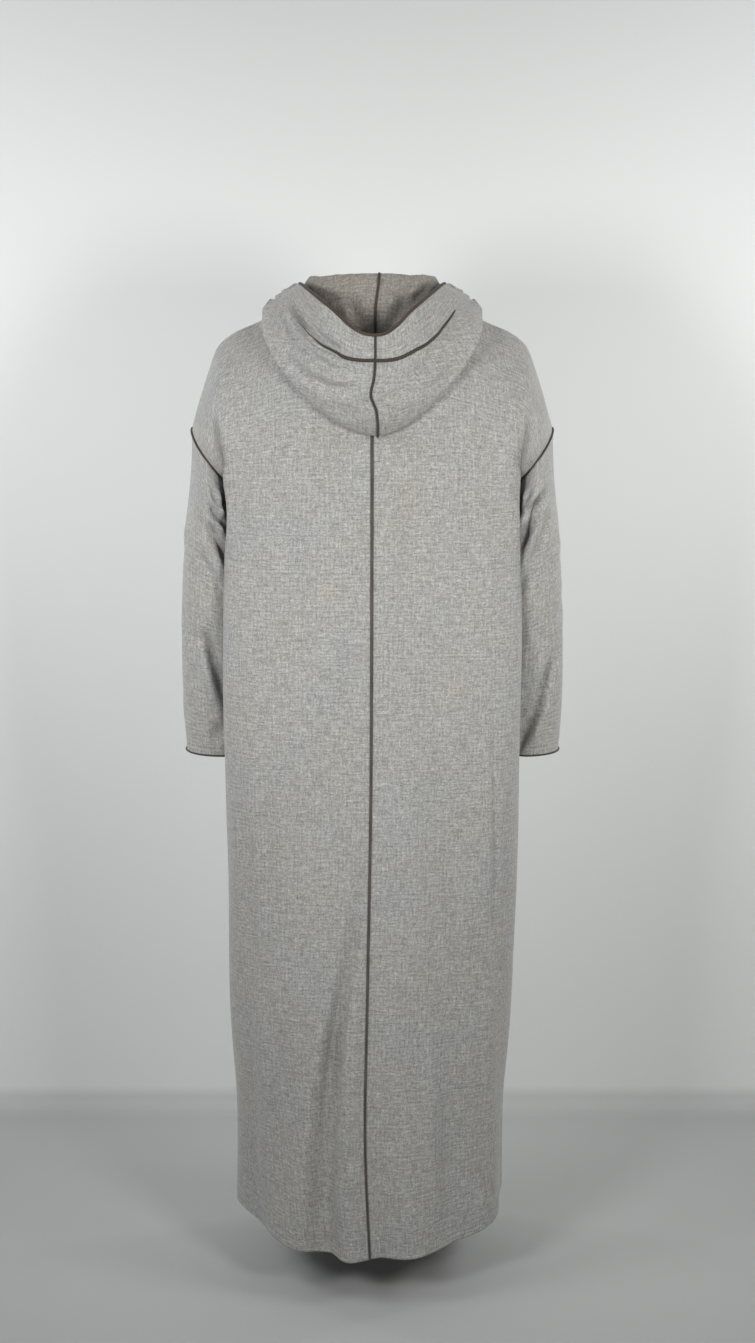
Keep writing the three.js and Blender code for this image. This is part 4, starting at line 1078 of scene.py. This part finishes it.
def add_hood(side_name, side):
    """One half of the hood: both layers in one surface, each with its own creases, which fade out
    at the seam and the neck and, but for the dip, under the band."""
    grid = wander(hood_half * (side, 1, 1), HOOD_SHARES[None])
    normals = hood_normals(grid, (2, 85))
    uv = hood_uv(grid, side)
    columns = np.arange(len(HOOD_SHARES))[None]
    outer = smoothstep(columns - FOOT[:, None], *OUTER_FROM)
    inner = smoothstep(FOOT[:, None] - columns, *INNER_FROM)
    x, z = grid[..., 0], grid[..., 2]
    height = outer * fine_creases(HOOD_OUTER[side], x, z)
    height -= inner * fine_creases(HOOD_INNER[side], x, z)
    height *= smoothstep(np.abs(x - x[:1]), 0, 10)
    below_band = smoothstep(HOOD_SHARES[None] - 1 + (band_wide / hood_lengths)[:, None], 0.005, -0.02)
    height *= np.where(outer > 0, below_band, 1)
    height += outer * fine_creases(BAND_DIP, x, z)
    height *= smoothstep(HOOD_ANGLES, HOOD_END, HOOD_END - 8)[:, None]
    grid = grid + normals * height[..., None]
    obj = add_shell(f"hood_cloth_{side_name}", grid, normals, uv, [f"hood_{side_name}"])
    return grid, normals


band_wide = hood_graph["band"](HOOD_ANGLES)
hoods = {name: add_hood(name, side) for name, side in SIDES}

# The band: the last stretch of the outer layer, moved out.
BAND_COLUMNS = 19
BAND_MIDDLE = BAND_COLUMNS // 2
BAND_UV_WIDE = 0.045             # metres across the band on its UV map
band_shares = 1 - (band_wide / hood_lengths)[:, None] * np.linspace(1, 0, BAND_COLUMNS)[None]
band_half = np.array([along(path, shares) for path, shares in zip(hood_paths, band_shares)])


def band_grid():
    """The band from the right end to the left one, with its normals, and its dip into the fold."""
    halves = []
    for side in (-1, 1):
        grid = wander(band_half * (side, 1, 1), band_shares)
        normals = hood_normals(grid, (2, BAND_MIDDLE))
        dip = fine_creases(BAND_DIP, grid[..., 0], grid[..., 2])
        halves.append((grid + normals * (CLOTH + BAND_GAP + dip)[..., None], normals))
    (right_grid, right_n), (left_grid, left_n) = halves
    grid = np.vstack([right_grid[::-1], left_grid[1:]])
    return grid, np.vstack([right_n[::-1], left_n[1:]])


band, band_normals = band_grid()
around = running(band[:, BAND_MIDDLE])[:, None] * MM
band_uv = np.stack(np.broadcast_arrays(around, np.linspace(0, BAND_UV_WIDE, BAND_COLUMNS)[None]), -1)
obj = add_shell("hood_band_cloth", band, band_normals, band_uv, ["hood_band"])

edge = (hoods["right"][0][::-1, -1], hoods["left"][0][1:, -1])
rim = (np.vstack(edge) + band[:, -1]) / 2
rim_up = unit(band[:, -1] - band[:, -3])
RIM_CORD_OUT = 1.5
add_cord("hood_rim_trim", rim + rim_up * RIM_CORD_OUT, band_normals[:, -1], ["hood_rim_cord"],
         half_wide=2.3, half_high=2.3, lift=1.0, material=worn_cord)
# The band's lower cord is thickest at the centre back. Towards its ends it sinks into the cloth: on
# the wearer's left where the fold below swallows it, on the right past the shoulder.
sunk = 3.4 * smoothstep(band[:, 1, 0], 58, 84) + 3.0 * smoothstep(-band[:, 1, 0], 108, 122)
add_cord("hood_band_trim", band[:, 1] - band_normals[:, 1] * sunk[:, None], band_normals[:, 1],
         ["band_edge_cord"], half_high=1.0,
         half_wide=lambda q: 2.5 - 1.3 * smoothstep(np.abs(q - 0.5), 0.04, 0.24))
# The cords of the hood's seam, on the columns of each layer that they cover.
INSIDE = slice(6, 60)
OUTSIDE = slice(62, 104)
seam, seam_out = hoods["left"][0][0], hoods["left"][1][0]
add_cord("hood_seam_trim_inside", seam[INSIDE], -seam_out[INSIDE], ["hood_seam_cord_inside"],
         half_wide=1.6, half_high=1.1, material=worn_cord)
add_cord("hood_seam_trim_outside", seam[OUTSIDE], seam_out[OUTSIDE], ["hood_seam_cord_outside"],
         half_wide=1.7, half_high=1.1)
centre = len(HOOD_ANGLES) - 1
add_cord("hood_seam_trim_band", band[centre], band_normals[centre], ["hood_seam_cord_band"],
         half_wide=1.6, half_high=1.1)

FLOOR_Z = -1.470
BACKDROP = dict(away=-0.53, round=0.03, high=3.2, wide=7.0, near=4.5)
# The paper darkens towards its lower end, from one height over the floor to another.
PAPER_RISE = (0.005, 0.05)
PAPER = [(0, (0.45, 0.46, 0.457)), (1, (0.78, 0.795, 0.79))]
PAPER_PATCHES = 0.12


def make_paper():
    """Pale paper: a ramp by the height over the floor plus a slow noise. It shows from its own
    front only."""
    material, tree, shader = node_tree("pale_studio_paper", 0.85, 0, 0.2)
    place = new(tree, "ShaderNodeTexCoord").outputs["Object"]
    patches = new(tree, "ShaderNodeTexNoise", Vector=place, Scale=1.6, Detail=3.0, Roughness=0.5)
    height = new(tree, "ShaderNodeSeparateXYZ", Vector=place).outputs["Z"]
    low, high = (FLOOR_Z + up for up in PAPER_RISE)
    rise = new(tree, "ShaderNodeMapRange", Value=height, From_Min=low, From_Max=high).outputs[0]
    patches = centred(tree, patches.outputs["Fac"], PAPER_PATCHES)
    colour = ramp_colour(tree, math_node(tree, "ADD", rise, patches), PAPER)
    feed(tree, colour, shader.inputs["Base Color"])
    one_sided = new(tree, "ShaderNodeMixShader")
    back = new(tree, "ShaderNodeNewGeometry").outputs["Backfacing"]
    clear = new(tree, "ShaderNodeBsdfTransparent").outputs[0]
    for output, socket in zip((back, shader.outputs[0], clear), one_sided.inputs):
        feed(tree, output, socket)
    feed(tree, one_sided.outputs[0], tree.nodes["Material Output"].inputs["Surface"])
    return material


def add_backdrop():
    """The pale floor, and a sweep that rises behind the robe: a level line, a quarter round and an
    upright line, carried across."""
    turn = np.linspace(0, math.pi / 2, 17)
    y = BACKDROP["away"] - BACKDROP["round"] * np.sin(turn)
    z = FLOOR_Z + BACKDROP["round"] * (1 - np.cos(turn))
    y = np.concatenate([[BACKDROP["near"]], y, y[-1:]])
    z = np.concatenate([[FLOOR_Z], z, [FLOOR_Z + BACKDROP["high"]]])
    x = np.array([1, -1]) * BACKDROP["wide"] / 2
    verts = np.array([(a, b, c) for b, c in zip(y, z) for a in x])
    faces = [(2 * k, 2 * k + 1, 2 * k + 3, 2 * k + 2) for k in range(len(y) - 1)]
    rest = [(a, b, FLOOR_Z) for b in (BACKDROP["away"], -BACKDROP["near"]) for a in x]
    faces.append([len(verts) + k for k in (0, 1, 3, 2)])
    verts = np.vstack([verts, rest])
    mesh = bpy.data.meshes.new("backdrop")
    mesh.from_pydata(verts.tolist(), [], faces)
    mesh.polygons.foreach_set("use_smooth", np.ones(len(faces), bool))
    mesh.update()
    backdrop = bpy.data.objects.new("backdrop", mesh)
    bpy.context.scene.collection.objects.link(backdrop)
    backdrop.data.materials.append(make_paper())


def add_light(name, place, target, size, power, colour, spread):
    """An oblong lamp at a place, turned towards a target, of so many watts and degrees of spread."""
    data = bpy.data.lights.new(name, "AREA")
    data.shape = "RECTANGLE"
    data.size, data.size_y = size
    data.energy = power
    data.spread = math.radians(spread)
    data.color = colour
    light = bpy.data.objects.new(name, data)
    light.location = place
    away = np.array(place) - np.array(target)
    flat = math.hypot(away[0], away[1])
    light.rotation_euler = (math.atan2(flat, away[2]), 0, math.atan2(away[0], -away[1]))
    bpy.context.scene.collection.objects.link(light)


add_backdrop()
WHITE = (1.0, 1.0, 1.0)
WARM_WHITE = (1.0, 0.985, 0.95)
# Pairs of lamps: name, place and target of the left one, size, spread, and left and right power
# and colour. The right one mirrors the left.
LAMPS = [
    ("key", (0.85, 1.50, -0.10), (0, 0, -0.44), (0.40, 0.40), 114, (6.0, 5.6), (WHITE, WARM_WHITE)),
    ("backdrop", (1.6, 0.6, 0.6), (0.5, -0.8, -0.56), (0.8, 0.8), 110, (7.2, 7.4), (WHITE, WHITE)),
    ("front", (1.15, -0.60, -0.10), (0, -0.12, -0.55), (0.3, 0.6), 110, (3.0, 3.2), (WHITE, WHITE)),
]
for name, place, target, size, spread, powers, colours in LAMPS:
    for (side_name, side), power, colour in zip(SIDES, powers, colours):
        mirror = np.array([side, 1, 1])
        add_light(f"{name}_{side_name}", mirror * place, mirror * target, size, power, colour, spread)

world = bpy.data.worlds.new("studio")
bpy.context.scene.world = world
world.use_nodes = True
background = world.node_tree.nodes["Background"]
background.inputs["Color"].default_value = (0.92, 0.94, 0.96, 1)
background.inputs["Strength"].default_value = 0.13
bpy.context.scene.view_settings.view_transform = "Standard"

# The view is level with the shoulders, three metres behind the robe, and looks a little down.
CAMERA = dict(away=3.0, above_floor=1.5, down=10.82, aside=-0.0075, lens=55.38)
data = bpy.data.cameras.new("camera")
data.sensor_fit = "AUTO"
data.sensor_width = 36
data.lens = CAMERA["lens"]
camera = bpy.data.objects.new("camera", data)
camera.location = (CAMERA["aside"], CAMERA["away"], FLOOR_Z + CAMERA["above_floor"])
camera.rotation_euler = (math.radians(90 - CAMERA["down"]), 0, math.radians(180))
bpy.context.scene.collection.objects.link(camera)
bpy.context.scene.camera = camera
